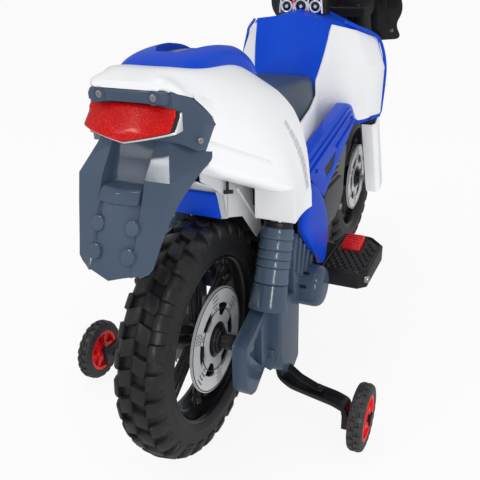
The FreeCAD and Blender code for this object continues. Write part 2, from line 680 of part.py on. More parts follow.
seat_core = loft("seat_core", [(station + (4 if station < 100 else -4 if station > 300 else 0), half)
                               for station, half in SEAT], arch, size("skin") + 0.5, 6)
keep(cut("seat", seat_form, seat_core), "seat")
cowl_form = loft("cowl_form", COWL, arch, width=COWL_WIDTH)
cowl_low = loft("cowl_low", [(station, [(y, z - size("cowl_depth")) for y, z in half]) for station, half in COWL],
                arch, width=COWL_WIDTH)
dish_plan = [(back(u), f"-{y} * {COWL_WIDTH}") for u, y in DISH]
dish_plan += [(back(u), f"{y} * {COWL_WIDTH}") for u, y in reversed(DISH)]
keep(cut("seat_cowl", cowl_form, slab("cowl_dish", dish_plan, "440", "540"), tail_form, seat_form), "seat_cowl")
insert_solid = overlap("insert_solid", cowl_low, slab("insert_plan", dish_plan, "440", "540"))
keep(cut("seat_insert", insert_solid, tail_form, seat_form), "seat_insert")

# Tail lamp, its housing and the rear mudguard

HOUSING = [(-103, [(0, 487), (45, 487), (53, 470), (50, 448), (32, 437)]),
           (-58, [(0, 468), (56, 468), (62, 450), (60, 420), (40, 412)])]
housing_form = loft("housing_form", HOUSING, frame_section)
housing_side = plate("housing_side", side_points(LAMP_EDGE + [(-103, 436), (-125, 436)]), "-100", "100")
lamp_housing = keep(overlap("lamp_housing", fuse("housing_wings", housing_form, tail_form), housing_side), "lamp_housing")
lens_wedge = plate("lens_wedge", side_points([(-103, 470), (-109, 470), (-129, 449), (-127, 443), (-103, 439)]), "-60", "60")
lens_face = new_body("lens_face")
lens_sketch = sketch_on(lens_face, "YZ_Plane", back(-150))
outline(lens_sketch, [("-49", "470"), ("-50", "460"), ("-41", "450"), ("0", "439"), ("41", "450"), ("50", "460"), ("49", "470")])
pad(lens_face, lens_sketch, "60")
keep(overlap("tail_lens", lens_wedge, lens_face), "tail_lens")

GUARD = ((442, -104, -60, 44), (406, -127, -70, 51), (328, -162, -138, 40), (318, -170, -150, 27))


def guard_loft(name, wall):
    """Rear mudguard through plan sections, or the hollow inside it."""
    body = new_body(name)
    sections = []
    for height, rear, front, half in GUARD:
        lift = wall if height == GUARD[0][0] else -wall if height == GUARD[-1][0] else 0
        sketch = sketch_on(body, "XY_Plane", f"{height + lift}")
        edge = "-overall_length / 2" if rear == -170 and not wall else back(rear + wall)
        reach = front + (30 if wall else 0)
        outline(sketch, [(edge, f"-{half - wall}"), (back(reach), f"-{half - wall}"),
                         (back(reach), f"{half - wall}"), (edge, f"{half - wall}")])
        sections.append(sketch)
    feature = body.newObject("PartDesign::AdditiveLoft", name + "_loft")
    feature.Profile = sections[0]
    feature.Sections = sections[1:]
    feature.Ruled = True
    return body


keep(cut("rear_mudguard", guard_loft("guard_form", 0), guard_loft("guard_core", 4), housing_form, lamp_housing,
         doc.getObject("tail_lens")), "rear_mudguard")

# Tank with its two shrouds

TANK = [(120, [(0, 500), (70, 480), (80, 400), (88, 330)]),
        (230, [(0, 500), (58, 490), (67, 410), (78, 335)]),
        (310, [(0, 521), (52, 515), (49, 431), (60, 350)]),
        (343, [(0, 512), (58, 505), (62, 431), (76, 345)]),
        (390, [(0, 518), (84, 492), (108, 430), (106, 345)]),
        (441, [(0, 520), (110, 474), (126, 425), (124, 340)])]
TANK_SIDE = [(307, 424), (367.5, 560), (441, 560), (441, 345), (378, 345), (330, 388), (307, 392)]
SHROUD_SIDE = [(347, 498), (315, 430), (294, 405), (166, 394), (130, 352), (338, 388), (380, 351), (435, 351),
               (435, 470), (390, 486)]
TANK_WIDTH = "tank_half_width / 126"
tank_form = loft("tank_form", TANK, frame_section, width=TANK_WIDTH, ruled=True)
tank_core = loft("tank_core", TANK, frame_section, size("skin"), 30, TANK_WIDTH, True)
tank_inner_side = plate("tank_inner_side", side_points([(u + 3.5 if u < 400 else u + 6, z if z > 400 else z - 30)
                                                       for u, z in TANK_SIDE]),
                        "-300", "300")
tank_outer = overlap("tank_outer", tank_form, plate("tank_side", side_points(TANK_SIDE), "-300", "300"))
tank_hollow = overlap("tank_hollow", tank_core, tank_inner_side)
tank = keep(cut("tank", tank_outer, tank_hollow, chassis), "tank")
shroud_form = loft("shroud_form", TANK, frame_section, -size("shroud_thickness"), 0, TANK_WIDTH, True)
shroud_layer = cut("shroud_layer", shroud_form, tank_form)
shroud = overlap("tank_shroud_right", shroud_layer, plate("shroud_side", side_points(SHROUD_SIDE), "20", "200"))
keep(shroud, "tank_shroud_right")
keep(mirrored(shroud, "tank_shroud_left"), "tank_shroud_left")

# Side spars, lower covers and the imitation engine

SPAR = [(345, 384), (374, 352), (300, 296), (246, 262), (222, 270), (140, 326), (143, 345)]
SPAR_WINDOW = [(262, 318), (228, 298), (214, 306), (226, 322)]
COVER = [(124, 322), (150, 316), (224, 266), (234, 244), (213, 200), (190, 198), (150, 230), (113, 270), (124, 298)]
ENGINE = [(192, 215), (240, 178), (390, 178), (430, 215), (440, 290), (380, 335), (250, 335), (192, 300)]


def bosses(name, places, inner, outer):
    return [rod(f"{name}_{i}", "7", f"({outer}) - ({inner})", back(u), f"-({outer})", str(z), "Y")
            for i, (u, z) in enumerate(places)]


spar = cut("side_spar_right",
           fuse("spar_solid", plate("spar_plate", side_points(SPAR), "spar_inner", "spar_outer"),
                *bosses("spar_boss", [(330, 366), (300, 318)], "chassis_half_width", "spar_outer - 5")),
           plate("spar_window", side_points(SPAR_WINDOW), "20", "200"), tank_outer)
keep(spar, "side_spar_right")
keep(mirrored(spar, "side_spar_left"), "side_spar_left")
cover = fuse("lower_cover_right", plate("cover_plate", side_points(COVER), "cover_inner", "cover_outer"),
             *bosses("cover_boss", [(205, 240), (200, 262)], "chassis_half_width", "cover_outer - 4"))
keep(cover, "lower_cover_right")
keep(mirrored(cover, "lower_cover_left"), "lower_cover_left")
engine = cut("engine_cover_right", plate("engine_plate", side_points(ENGINE), "chassis_half_width", "engine_outer"),
             *bosses("engine_hole", [(205, 240), (200, 262), (300, 318)], "chassis_half_width - 2", "engine_outer + 2"))
socket_hole = rod("socket_hole", "9", "30", back(330), "engine_outer - 12", "250", "Y")
engine_left = cut("engine_cover_left", mirrored(engine, "engine_left_solid"), socket_hole)
keep(group("engine_covers", engine, engine_left), "engine_covers")
socket_body = rod("socket_body", "9", "14", back(330), "engine_outer - 12", "250", "Y")
socket_bore = rod("socket_bore", "socket_radius", "socket_depth + 5", back(330), "engine_outer + 2 - socket_depth", "250", "Y")
keep(cut("charge_socket", socket_body, socket_bore), "charge_socket")

# Footrests with the accelerator pedal on the right

STEP_FRONT, STEP_REAR, PEDAL_X = 345, 210, 290
step = fuse("step_solid",
            slab("step_tread", [(back(STEP_REAR), "-step_inner"), (back(STEP_FRONT), "-step_inner"),
                                (back(STEP_FRONT), "-step_outer + 22"), (back(f"{STEP_FRONT} - 26"), "-step_outer"),
                                (back(f"{STEP_REAR} + 12"), "-step_outer"), (back(STEP_REAR), "-step_outer + 12")],
                 "step_height - 25", "step_height"),
            block("step_arm", back(240), "-step_inner - 2", "step_height - 22", "66", "step_inner + 2 - chassis_half_width", "20"))
keep(mirrored(step, "footrest_left"), "footrest_left")
PEDAL_Y = "(step_inner + 25)"
pedal_well = block("pedal_well", back(f"{PEDAL_X} - moving_gap * 2"), f"-{PEDAL_Y} - pedal_width / 2 - moving_gap",
                   "step_height - 20", "pedal_length + moving_gap * 7", "pedal_width + moving_gap * 2", "40")
keep(cut("footrest_right", step, pedal_well), "footrest_right")
pedal = plate("accelerator_pedal", [(back(PEDAL_X), "step_height - 12"), (back(f"{PEDAL_X} + pedal_length"), "step_height - 4"),
                                    (back(f"{PEDAL_X} + pedal_length"), "step_height + pedal_rise"),
                                    (back(f"{PEDAL_X} + 5"), "step_height + pedal_rise - 3"),
                                    (back(PEDAL_X), "step_height - 2")],
              f"{PEDAL_Y} - pedal_width / 2", f"{PEDAL_Y} + pedal_width / 2")
keep(pedal, "accelerator_pedal")

# Dash on the tank with the horn button and the power switch

DASH_X, DASH_TOP = 402, 534
dash_block = slab("dash_block", [(back(380), "-26"), (back(390), "-36"), (back(416), "-36"), (back(426), "-26"),
                                 (back(426), "26"), (back(416), "36"), (back(390), "36"), (back(380), "26")], "480", f"{DASH_TOP}")
button_well = rod("button_well", "button_radius + moving_gap", "20", back(DASH_X), "17", f"{DASH_TOP - 8}")
switch_well = block("switch_well", back(f"{DASH_X} - 12"), "-24", f"{DASH_TOP - 9}", "24", "14", "20")
keep(cut("dash_panel", dash_block, tank_form, button_well, switch_well), "dash_panel")
keep(rod("horn_button", "button_radius", "9", back(DASH_X), "17", f"{DASH_TOP - 4}"), "horn_button")
switch = plate("power_switch", [(back(DASH_X - 10.5), f"{DASH_TOP + 4}"), (back(DASH_X - 10.5), f"{DASH_TOP - 1.5}"),
                                (back(DASH_X - 6), f"{DASH_TOP - 6}"), (back(DASH_X + 6), f"{DASH_TOP - 6}"),
                                (back(DASH_X + 10.5), f"{DASH_TOP - 1.5}"), (back(DASH_X + 10.5), f"{DASH_TOP + 4}"),
                                (back(DASH_X), f"{DASH_TOP + 2}")], "10.5", "23.5")
keep(switch, "power_switch")

# Fork, steering stem and clamps, drawn along the steering axis

CLAMP_HALF = "(leg_offset + leg_radius + 6)"


def clamp(name, low):
    plan = [("-22", f"-{CLAMP_HALF} + 10"), ("-12", f"-{CLAMP_HALF}"), ("12", f"-{CLAMP_HALF}"), ("22", f"-{CLAMP_HALF} + 10"),
            ("22", f"{CLAMP_HALF} - 10"), ("12", CLAMP_HALF), ("-12", CLAMP_HALF), ("-22", f"{CLAMP_HALF} - 10")]
    return on_steering(slab(name, plan, "0", "clamp_thickness"), low)


def leg_rod(name, radius, length, low, side):
    return on_steering(rod(name, radius, length), low, f"{side} * leg_offset")


stem_rod = on_steering(rod("stem_rod", "stem_radius", "clamp_high + clamp_thickness - clamp_low"), "clamp_low")
leg_holes = [leg_rod(f"leg_hole_{side}", "leg_radius", "400", "100", side) for side in (-1, 1)]
keep(cut("steering_stem", fuse("stem_solid", clamp("lower_clamp", "clamp_low"), stem_rod), *leg_holes), "steering_stem")
stem_hole = on_steering(rod("stem_hole", "stem_radius", "400"), "100")
keep(cut("upper_clamp", clamp("upper_clamp_solid", "clamp_high"), stem_hole, *leg_holes), "upper_clamp")
leg_solid = fuse("leg_solid", leg_rod("leg_tube", "leg_radius", "clamp_high + clamp_thickness - 140", "140", -1),
                 leg_rod("leg_slider", "slider_radius", "160", "-18", -1))
front_axle_hole = rod("front_axle_hole", "axle_radius", "300", FRONT, "-150", "wheel_radius", "Y")
leg = keep(cut("fork_leg_right", leg_solid, front_axle_hole), "fork_leg_right")
keep(mirrored(leg, "fork_leg_left"), "fork_leg_left")
front_axle_length = "(2 * (leg_offset + slider_radius + guard_thickness))"
keep(rod("front_axle", "axle_radius", front_axle_length, FRONT, f"-{front_axle_length} / 2", "wheel_radius", "Y"), "front_axle")
GUARD_HALF = "(slider_radius + guard_thickness)"
GUARD_EDGE = "(slider_radius - 4)"
guard_plan = [(f"-{GUARD_HALF}", f"-{GUARD_EDGE}"), (f"-{GUARD_EDGE}", f"-{GUARD_HALF}"), (GUARD_EDGE, f"-{GUARD_HALF}"),
              (GUARD_HALF, f"-{GUARD_EDGE}"), (GUARD_HALF, "slider_radius * 0.6"), (f"-{GUARD_HALF}", "slider_radius * 0.6")]
guard_block = on_steering(slab("guard_block", guard_plan, "0", "136"), "-8", "-leg_offset")
guard = keep(cut("fork_guard_right", guard_block, leg_rod("guard_hole", "slider_radius", "400", "-100", -1), front_axle_hole),
             "fork_guard_right")
keep(mirrored(guard, "fork_guard_left"), "fork_guard_left")

# Front mudguard, mask and headlamp

NOSE = [(-125, 366), (-75, 374), (0, 368), (85, 351), (165, 328)]
nose_tip = [("overall_length / 2", "306")]
fender_top = [(ahead(u), str(z)) for u, z in NOSE] + nose_tip
fender_low = [(ahead(u - 2), str(z - 4)) for u, z in NOSE]
fender_lip = [(ahead(u - 4), str(z - 17)) for u, z in NOSE]
fender_plate = plate("fender_plate", fender_top + fender_low[::-1], "-34", "34")
fender_side = plate("fender_side", fender_top + fender_lip[::-1], "31", "34")
fender_mount = plate("fender_mount", [(ahead(-125), "364"), (ahead(-84), "370"), neck_point("clamp_low", "16"), neck_point("clamp_low", "-20")],
                     "-24", "24")
keep(fuse("front_mudguard", fender_plate, fender_side, mirrored(fender_side, "fender_side_left"), fender_mount), "front_mudguard")

MASK = [(0, 293), (66, 299), (128, 305), (117, 331), (132, 359), (122, 397), (84, 439), (40, 459)]
mask_body = new_body("mask_plate")
mask_sketch = sketch_on(mask_body, "YZ_Plane", "44")
mask_half = [(f"{y} * mask_half_width / 128", str(z)) for y, z in MASK]
outline(mask_sketch, mask_half + [(f"-({y})", z) for y, z in mask_half[:0:-1]])
pad(mask_body, mask_sketch, "4")
on_steering(mask_body)
stays = [on_steering(block(f"mask_stay_{side}", "0", "0", "0", "24", "10", "12"), "clamp_high + 2", f"{side} * 34 - 5", "21")
         for side in (-1, 1)]
keep(cut("front_mask", fuse("mask_solid", mask_body, *stays), doc.getObject("upper_clamp")), "front_mask")
lamp_body = new_body("headlamp")
lamp_sketch = sketch_on(lamp_body, "YZ_Plane", "48")
outline(lamp_sketch, [("-58", "375"), ("-46", "333"), ("0", "321"), ("46", "333"), ("58", "375"), ("0", "383")])
lamp_pad = pad(lamp_body, lamp_sketch, "14")
lamp_pad.TaperAngle = -25
on_steering(lamp_body)
keep(lamp_body, "headlamp")

# Handlebar and grips

BAR_LIFT, BAR_BEND, BAR_SWEEP = "26", "48", "128"
BAR_X = f"({FRONT} - (clamp_high + clamp_thickness + {BAR_LIFT}) * sin(rake))"
BAR_Z = f"(wheel_radius + (clamp_high + clamp_thickness + {BAR_LIFT}) * cos(rake))"
GRIP_X = f"({BAR_X} - 52)"
bar_low = Vector(size(BAR_X), size(BAR_BEND), size(BAR_Z))
bar_high = Vector(size(GRIP_X), size(BAR_SWEEP), size("bar_height"))
bar_end = Vector(size(GRIP_X), size("bar_half_width"), size("bar_height"))
bar_radius = size("bar_radius")


def tube_between(start, end, radius):
    return Part.makeCylinder(radius, (end - start).Length, start, end - start)


bar_shape = tube_between(Vector(bar_low.x, -bar_low.y, bar_low.z), bar_low, bar_radius)
for flip in (1, -1):
    low, high, end = (Vector(p.x, flip * p.y, p.z) for p in (bar_low, bar_high, bar_end))
    for piece in (tube_between(low, high, bar_radius), tube_between(high, end, bar_radius),
                  Part.makeSphere(bar_radius, low), Part.makeSphere(bar_radius, high)):
        bar_shape = bar_shape.fuse(piece)
bar_tube = doc.addObject("Part::Feature", "bar_tube")
bar_tube.Shape = bar_shape
risers = [on_steering(rod(f"bar_riser_{side}", "9", BAR_LIFT), "clamp_high + clamp_thickness", f"{side} * 28") for side in (-1, 1)]
keep(fuse("handlebar", bar_tube, *risers), "handlebar")
grip_solid = rod("grip_solid", "grip_radius", "grip_length", GRIP_X, "bar_half_width - grip_length + 2", "bar_height", "Y")
grip_hole = rod("grip_hole", "bar_radius", "grip_length", GRIP_X, "bar_half_width - grip_length", "bar_height", "Y")
grip = cut("grip_left", grip_solid, grip_hole)
keep(group("handlebar_grips", grip, mirrored(grip, "grip_right")), "handlebar_grips")

# Steel nuts, spacers and axle bolts of the rear end


def hex_nut(name, across, length, x, y, z):
    body = new_body(name)
    sketch = sketch_on(body, "XZ_Plane")
    loose_outline(sketch, [(across * math.cos(i * math.pi / 3), across * math.sin(i * math.pi / 3)) for i in range(6)])
    sketch.addGeometry(Part.Circle(Vector(0, 0, 0), Vector(0, 0, 1), size("axle_radius")))
    pad(body, sketch, length, True)
    put(body, x, y, z)
    return body


nut = hex_nut("axle_nut", 10, "7", REAR, "fork_step", "wheel_radius")
sleeves = []
for side, hub_end in (("left", "gear_seat + gear_width"), ("right", "hub_reach")):
    start = f"({hub_end} + moving_gap)"
    length = f"fork_step - fork_arm_wall - {start}"
    place = start if side == "left" else "-fork_step + fork_arm_wall"
    sleeve = rod(f"sleeve_{side}", "axle_radius + 4", length, REAR, place, "wheel_radius", "Y")
    sleeve_bore = rod(f"sleeve_bore_{side}", "axle_radius", "200", REAR, "-100", "wheel_radius", "Y")
    sleeves.append(cut(f"axle_sleeve_{side}", sleeve, sleeve_bore))
bolt = fuse("stabiliser_bolt_left", rod("bolt_shaft", "stabiliser_bolt", "stabiliser_width + 14", back("stabiliser_x"), f"{AXLE_FACE} - 6",
                                        "stabiliser_radius", "Y"),
            rod("bolt_head", "9", "3", back("stabiliser_x"), "stabiliser_offset + stabiliser_width / 2 + 1", "stabiliser_radius", "Y"))
keep(group("axle_hardware", nut, mirrored(nut, "axle_nut_right"), *sleeves, bolt, mirrored(bolt, "stabiliser_bolt_right")),
     "axle_hardware")

# Checks, then one file for every sub-part

doc.recompute()
failed = [item.Name for item in doc.Objects if "Invalid" in item.State or "Error" in item.State]
for item in NODES:
    if item.Shape.isNull() or not item.Shape.isValid() or not item.Shape.Solids:
        failed.append(item.Label)
if failed:
    raise RuntimeError("not built: " + ", ".join(failed))
os.makedirs("parts", exist_ok=True)
for item in NODES:
    item.Shape.exportStep(f"parts/{item.Label}.step")
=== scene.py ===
import json
import math

import bmesh
import bpy
from mathutils import Matrix, Vector
from mathutils.bvhtree import BVHTree


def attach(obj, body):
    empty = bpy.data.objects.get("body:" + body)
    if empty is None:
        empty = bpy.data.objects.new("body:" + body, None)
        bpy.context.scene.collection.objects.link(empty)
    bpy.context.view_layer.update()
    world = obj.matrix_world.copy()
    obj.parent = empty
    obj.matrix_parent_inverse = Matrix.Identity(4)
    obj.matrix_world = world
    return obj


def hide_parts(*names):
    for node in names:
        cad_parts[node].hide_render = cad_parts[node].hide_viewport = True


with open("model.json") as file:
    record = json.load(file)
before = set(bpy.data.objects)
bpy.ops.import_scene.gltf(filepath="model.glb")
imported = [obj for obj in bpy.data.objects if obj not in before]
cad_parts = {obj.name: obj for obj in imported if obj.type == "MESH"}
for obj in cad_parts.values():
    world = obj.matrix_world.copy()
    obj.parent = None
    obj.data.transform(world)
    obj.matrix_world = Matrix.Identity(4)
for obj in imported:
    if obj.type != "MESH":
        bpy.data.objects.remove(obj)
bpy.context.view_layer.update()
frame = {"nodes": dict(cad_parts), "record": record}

scene = bpy.context.scene
nodes = frame["nodes"]
SLOT_OF = {entry["node"]: entry["material_slot"] for entry in frame["record"]["subparts"]}
BODY_OF = {name: body for body, names in frame["record"]["behaviour"]["bodies"].items() for name in names}

# Places on the bike: millimetres ahead of the rear axle, to the rider's left, above the floor
REAR_AXLE = -362.5
WHEELBASE = 675
WHEEL_RADIUS = 155
RAKE = math.radians(25)
SIDES = (("right", -1), ("left", 1))
BOTH = (-1, 1)
ACROSS = Vector((0, 1, 0))
UPWARD = Vector((0, 0, 1))
REARWARD = Vector((-1, 0, 0))


def spot(ahead, left, up):
    return Vector(((REAR_AXLE + ahead) / 1000, left / 1000, up / 1000))


def on_fork(along, left, forward):
    """A place on the front end: along the steering axis, to the left, forward of it."""
    return spot(WHEELBASE - along * math.sin(RAKE) + forward * math.cos(RAKE), left,
                WHEEL_RADIUS + along * math.cos(RAKE) + forward * math.sin(RAKE))


# Shader groups shared by the finishes

ENDS = ("Base Color", "Roughness", "Normal")
COLOUR_INPUTS = ("Colour", "Shade", "Tarnish")
DUST = (0.55, 0.54, 0.52, 1)
MOULDING_BUMP = 0.0006
METAL_BUMP = 0.0004
COAT_ROUGHNESS = 0.08


def feed(tree, socket, value):
    """Link a socket to another one, or give it a plain value."""
    if isinstance(value, bpy.types.NodeSocket):
        tree.links.new(value, socket)
    else:
        socket.default_value = value


def node(tree, kind, **values):
    """A shader node with its settings and inputs, by name."""
    item = tree.nodes.new(kind)
    for key, value in values.items():
        if key in item.inputs:
            feed(tree, item.inputs[key], value)
        else:
            setattr(item, key, value)
    return item


def object_place(tree):
    return node(tree, "ShaderNodeTexCoord").outputs["Object"]


def mix_colour(tree, factor, first, second):
    item = node(tree, "ShaderNodeMix", data_type="RGBA")
    for index, value in ((0, factor), (6, first), (7, second)):
        feed(tree, item.inputs[index], value)
    return item.outputs[2]


def span(tree, value, low, high, new_low, new_high):
    """Carry a value from one range to another."""
    values = {"Value": value, "From Min": low, "From Max": high, "To Min": new_low, "To Max": new_high}
    return node(tree, "ShaderNodeMapRange", **values).outputs["Result"]


def noise(tree, place, scale, detail=3.0, rough=0.5, stretch=None):
    if stretch:
        place = node(tree, "ShaderNodeMapping", Vector=place, Scale=stretch).outputs["Vector"]
    item = node(tree, "ShaderNodeTexNoise", Vector=place, Scale=scale, Detail=detail, Roughness=rough)
    return item.outputs["Fac"]


def math_node(tree, kind, first, second):
    item = node(tree, "ShaderNodeMath", operation=kind)
    feed(tree, item.inputs[0], first)
    feed(tree, item.inputs[1], second)
    return item.outputs[0]


def bump(tree, height, strength, distance):
    return node(tree, "ShaderNodeBump", Height=height, Strength=strength, Distance=distance).outputs["Normal"]


def give(tree, target, colour, rough, normal):
    """Link a colour, a roughness and a normal to the end of a group or to a shader."""
    for label, value in zip(ENDS, (colour, rough, normal)):
        tree.links.new(value, target.inputs[label])


def group_of(name, inputs):
    """An empty shader group with its inputs, its end and its place on the object."""
    tree = bpy.data.node_groups.new(name, "ShaderNodeTree")
    for label in inputs:
        kind = "NodeSocketColor" if label in COLOUR_INPUTS else "NodeSocketFloat"
        tree.interface.new_socket(label, in_out="INPUT", socket_type=kind)
    for label, kind in zip(ENDS, ("NodeSocketColor", "NodeSocketFloat", "NodeSocketVector")):
        tree.interface.new_socket(label, in_out="OUTPUT", socket_type=kind)
    return tree, node(tree, "NodeGroupInput").outputs, node(tree, "NodeGroupOutput"), object_place(tree)


def make_moulding_group():
    """Injection-moulded plastic: flow shading, handling scuffs and a fine skin."""
    inputs = ("Colour", "Shade", "Roughness", "Scuff", "Skin scale", "Skin depth")
    tree, start, end, place = group_of("moulding", inputs)
    flow = span(tree, noise(tree, place, 9.0, 2.0), 0.35, 0.7, 0.0, 1.0)
    shaded = mix_colour(tree, flow, start["Colour"], start["Shade"])
    dust = span(tree, noise(tree, place, 55.0, 5.0, 0.65), 0.58, 0.75, 0.0, 0.5)
    dusted = mix_colour(tree, math_node(tree, "MULTIPLY", dust, start["Scuff"]), shaded, DUST)
    scratch = span(tree, noise(tree, place, 60.0, 4.0, 0.7, (1.0, 7.0, 1.5)), 0.55, 0.72, 0.0, 1.0)
    worn = math_node(tree, "MULTIPLY", scratch, start["Scuff"])
    rough = math_node(tree, "ADD", start["Roughness"], worn)
    fine = noise(tree, place, start["Skin scale"], 2.0)
    wave = math_node(tree, "MULTIPLY", noise(tree, place, 34.0, 1.0), 1.6)
    height = math_node(tree, "ADD", fine, wave)
    give(tree, end, dusted, rough, bump(tree, height, start["Skin depth"], MOULDING_BUMP))
    return tree


def make_metal_group():
    """Plated or coated metal: fine streaks, tarnish spots and a brushed skin."""
    tree, start, end, place = group_of("metal_skin", ("Colour", "Tarnish", "Roughness", "Amount", "Depth"))
    spots = span(tree, noise(tree, place, 70.0, 5.0, 0.6), 0.5, 0.75, 0.0, 1.0)
    amount = math_node(tree, "MULTIPLY", spots, start["Amount"])
    colour = mix_colour(tree, amount, start["Colour"], start["Tarnish"])
    rough = math_node(tree, "ADD", start["Roughness"], math_node(tree, "MULTIPLY", amount, 0.25))
    streak = noise(tree, place, 260.0, 3.0, 0.6, (1.0, 0.12, 1.0))
    give(tree, end, colour, rough, bump(tree, streak, start["Depth"], METAL_BUMP))
    return tree


MOULDING = make_moulding_group()
METAL_SKIN = make_metal_group()


# Finishes

def new_material(name, values):
    """A material whose Principled shader has the given inputs."""
    material = bpy.data.materials.new(name)
    material.use_nodes = True
    shader = material.node_tree.nodes["Principled BSDF"]
    for key, value in values.items():
        shader.inputs[key].default_value = value
    return material, material.node_tree, shader


def finish_from(name, group, values, metallic=0.0, coat=0.0, specular=0.5):
    """A Principled material fed by one of the shader groups."""
    material, tree, shader = new_material(name, {
        "Metallic": metallic, "Coat Weight": coat, "Coat Roughness": COAT_ROUGHNESS,
        "Specular IOR Level": specular})
    source = node(tree, "ShaderNodeGroup", node_tree=group, **values)
    give(tree, shader, *(source.outputs[label] for label in ENDS))
    return material


def plastic(name, colour, shade, rough, scuff, depth, coat=0.0, skin_scale=900.0, specular=0.5):
    values = {"Colour": (*colour, 1), "Shade": (*shade, 1), "Roughness": rough, "Scuff": scuff,
              "Skin scale": skin_scale, "Skin depth": depth}
    return finish_from(name, MOULDING, values, coat=coat, specular=specular)


def metal(name, colour, tarnish, rough, amount, depth, metallic=1.0):
    values = {"Colour": (*colour, 1), "Tarnish": (*tarnish, 1), "Roughness": rough, "Amount": amount,
              "Depth": depth}
    return finish_from(name, METAL_SKIN, values, metallic=metallic)


ROYAL_BLUE = (0.004, 0.066, 0.60)
DEEP_BLUE = (0.003, 0.05, 0.52)
white = plastic("white_moulding", (0.84, 0.85, 0.86), (0.79, 0.80, 0.82), 0.3, 0.012, 0.03, 0.05,
                specular=0.25)
blue = plastic("royal_blue_moulding", ROYAL_BLUE, DEEP_BLUE, 0.28, 0.02, 0.04, specular=0.15)
slate = plastic("slate_moulding", (0.060, 0.090, 0.140), (0.047, 0.073, 0.114), 0.17, 0.025, 0.05, 0.2)
seat_slate = plastic("seat_moulding", (0.052, 0.078, 0.120), (0.042, 0.064, 0.100), 0.4, 0.02, 0.06,
                     specular=0.15)
tank_blue = plastic("tank_moulding", ROYAL_BLUE, DEEP_BLUE, 0.42, 0.02, 0.04, specular=0.08)
# The boots wear a lighter copy of the slate moulding; the extra lightness is painted light, the sheen on the
# ribbed boots.
boot_slate = plastic("boot_moulding_painted_sheen", (0.080, 0.116, 0.170), (0.056, 0.086, 0.130), 0.2, 0.03, 0.07, 0.2)
grey = plastic("light_grey_moulding", (0.58, 0.59, 0.61), (0.48, 0.49, 0.51), 0.42, 0.04, 0.1)
black = plastic("black_moulding", (0.014, 0.014, 0.016), (0.009, 0.009, 0.010), 0.36, 0.06, 0.12)
gloss_black = plastic("gloss_black_moulding", (0.010, 0.010, 0.012), (0.007, 0.007, 0.008), 0.2, 0.04, 0.06,
                      coat=0.3)
tread_black = plastic("tread_moulding", (0.017, 0.017, 0.019), (0.012, 0.012, 0.013), 0.36, 0.07, 0.18,
                      skin_scale=520.0, specular=0.45)
small_black = plastic("small_tyre_moulding", (0.040, 0.040, 0.043), (0.030, 0.030, 0.032), 0.4, 0.06, 0.15)
red = plastic("red_moulding", (0.92, 0.022, 0.024), (0.80, 0.016, 0.018), 0.25, 0.03, 0.06, 0.25)
nylon = plastic("gear_nylon", (0.78, 0.76, 0.68), (0.68, 0.66, 0.58), 0.4, 0.05, 0.1)
board = plastic("board_lacquer", (0.02, 0.16, 0.06), (0.015, 0.11, 0.04), 0.3, 0.05, 0.1)
rubber = plastic("grip_rubber", (0.02, 0.02, 0.021), (0.012, 0.012, 0.013), 0.62, 0.12, 0.35,
                 skin_scale=1400.0)
engine_grey = plastic("engine_grey_moulding", (0.085, 0.087, 0.092), (0.055, 0.056, 0.060), 0.34, 0.1, 0.14)
chrome = metal("plated_disc", (0.90, 0.91, 0.93), (0.60, 0.60, 0.62), 0.2, 0.3, 0.06, 0.5)
steel = metal("zinc_steel", (0.62, 0.62, 0.64), (0.36, 0.35, 0.33), 0.3, 0.5, 0.2)
coated = metal("black_coated_steel", (0.012, 0.012, 0.013), (0.03, 0.03, 0.03), 0.2, 0.25, 0.08, 0.0)
brass = metal("pinion_brass", (0.72, 0.53, 0.24), (0.4, 0.28, 0.12), 0.3, 0.4, 0.15)


def make_lens():
    """Clear red moulding with small prisms behind a smooth face; the brighter red in each prism cell is a
    painted glint.
    """
    material, tree, shader = new_material("red_prism_lens", {"Coat Weight": 0.12, "Specular IOR Level": 0.25})
    place = object_place(tree)
    cells = node(tree, "ShaderNodeTexVoronoi", Vector=place, Scale=620.0, Randomness=0.8).outputs["Distance"]
    spark = span(tree, cells, 0.05, 0.55, 1.0, 0.0)
    patch = span(tree, noise(tree, place, 60.0, 2.0), 0.35, 0.65, 0.35, 1.0)
    painted_glint = math_node(tree, "MULTIPLY", spark, patch)
    colour = mix_colour(tree, painted_glint, (0.48, 0.002, 0.003, 1), (0.92, 0.022, 0.014, 1))
    rough = span(tree, painted_glint, 0.0, 1.0, 0.2, 0.34)
    give(tree, shader, colour, rough, bump(tree, cells, 0.15, MOULDING_BUMP))
    return material


def make_headlamp():
    """Clear lamp cover: smooth outside with upright flutes."""
    material, tree, shader = new_material("clear_lamp_cover", {"Transmission Weight": 0.55, "IOR": 1.49})
    place = object_place(tree)
    flutes = node(tree, "ShaderNodeTexWave", Vector=place, Scale=60.0, Distortion=0.0, bands_direction="Y")
    colour = mix_colour(tree, noise(tree, place, 40.0), (0.80, 0.84, 0.88, 1), (0.70, 0.74, 0.78, 1))
    rough = span(tree, noise(tree, place, 90.0), 0.3, 0.7, 0.05, 0.16)
    give(tree, shader, colour, rough, bump(tree, flutes.outputs["Color"], 0.5, 0.0015))
    return material


lens_red = make_lens()
lamp_clear = make_headlamp()

FINISHES = {"tyre_black": tread_black, "rim_black": gloss_black, "disc_chrome": chrome, "gear_nylon": nylon,
            "pinion_brass": brass, "steel": steel, "slate_plastic": slate, "boot_slate": boot_slate,
            "black_steel": coated, "red_plastic": red, "grey_plastic": grey, "black_plastic": black,
            "board_green": board, "white_plastic": white, "blue_plastic": blue, "lens_red": lens_red,
            "dash_trim": gloss_black, "lamp_clear": lamp_clear, "grip_rubber": rubber}


def wear(item, material):
    """Give an object one material."""
    item.data.materials.clear()
    item.data.materials.append(material)


for name, item in nodes.items():
    wear(item, FINISHES[SLOT_OF[name]])
wear(nodes["axle_hardware"], coated)
wear(nodes["seat"], seat_slate)


# Making pieces

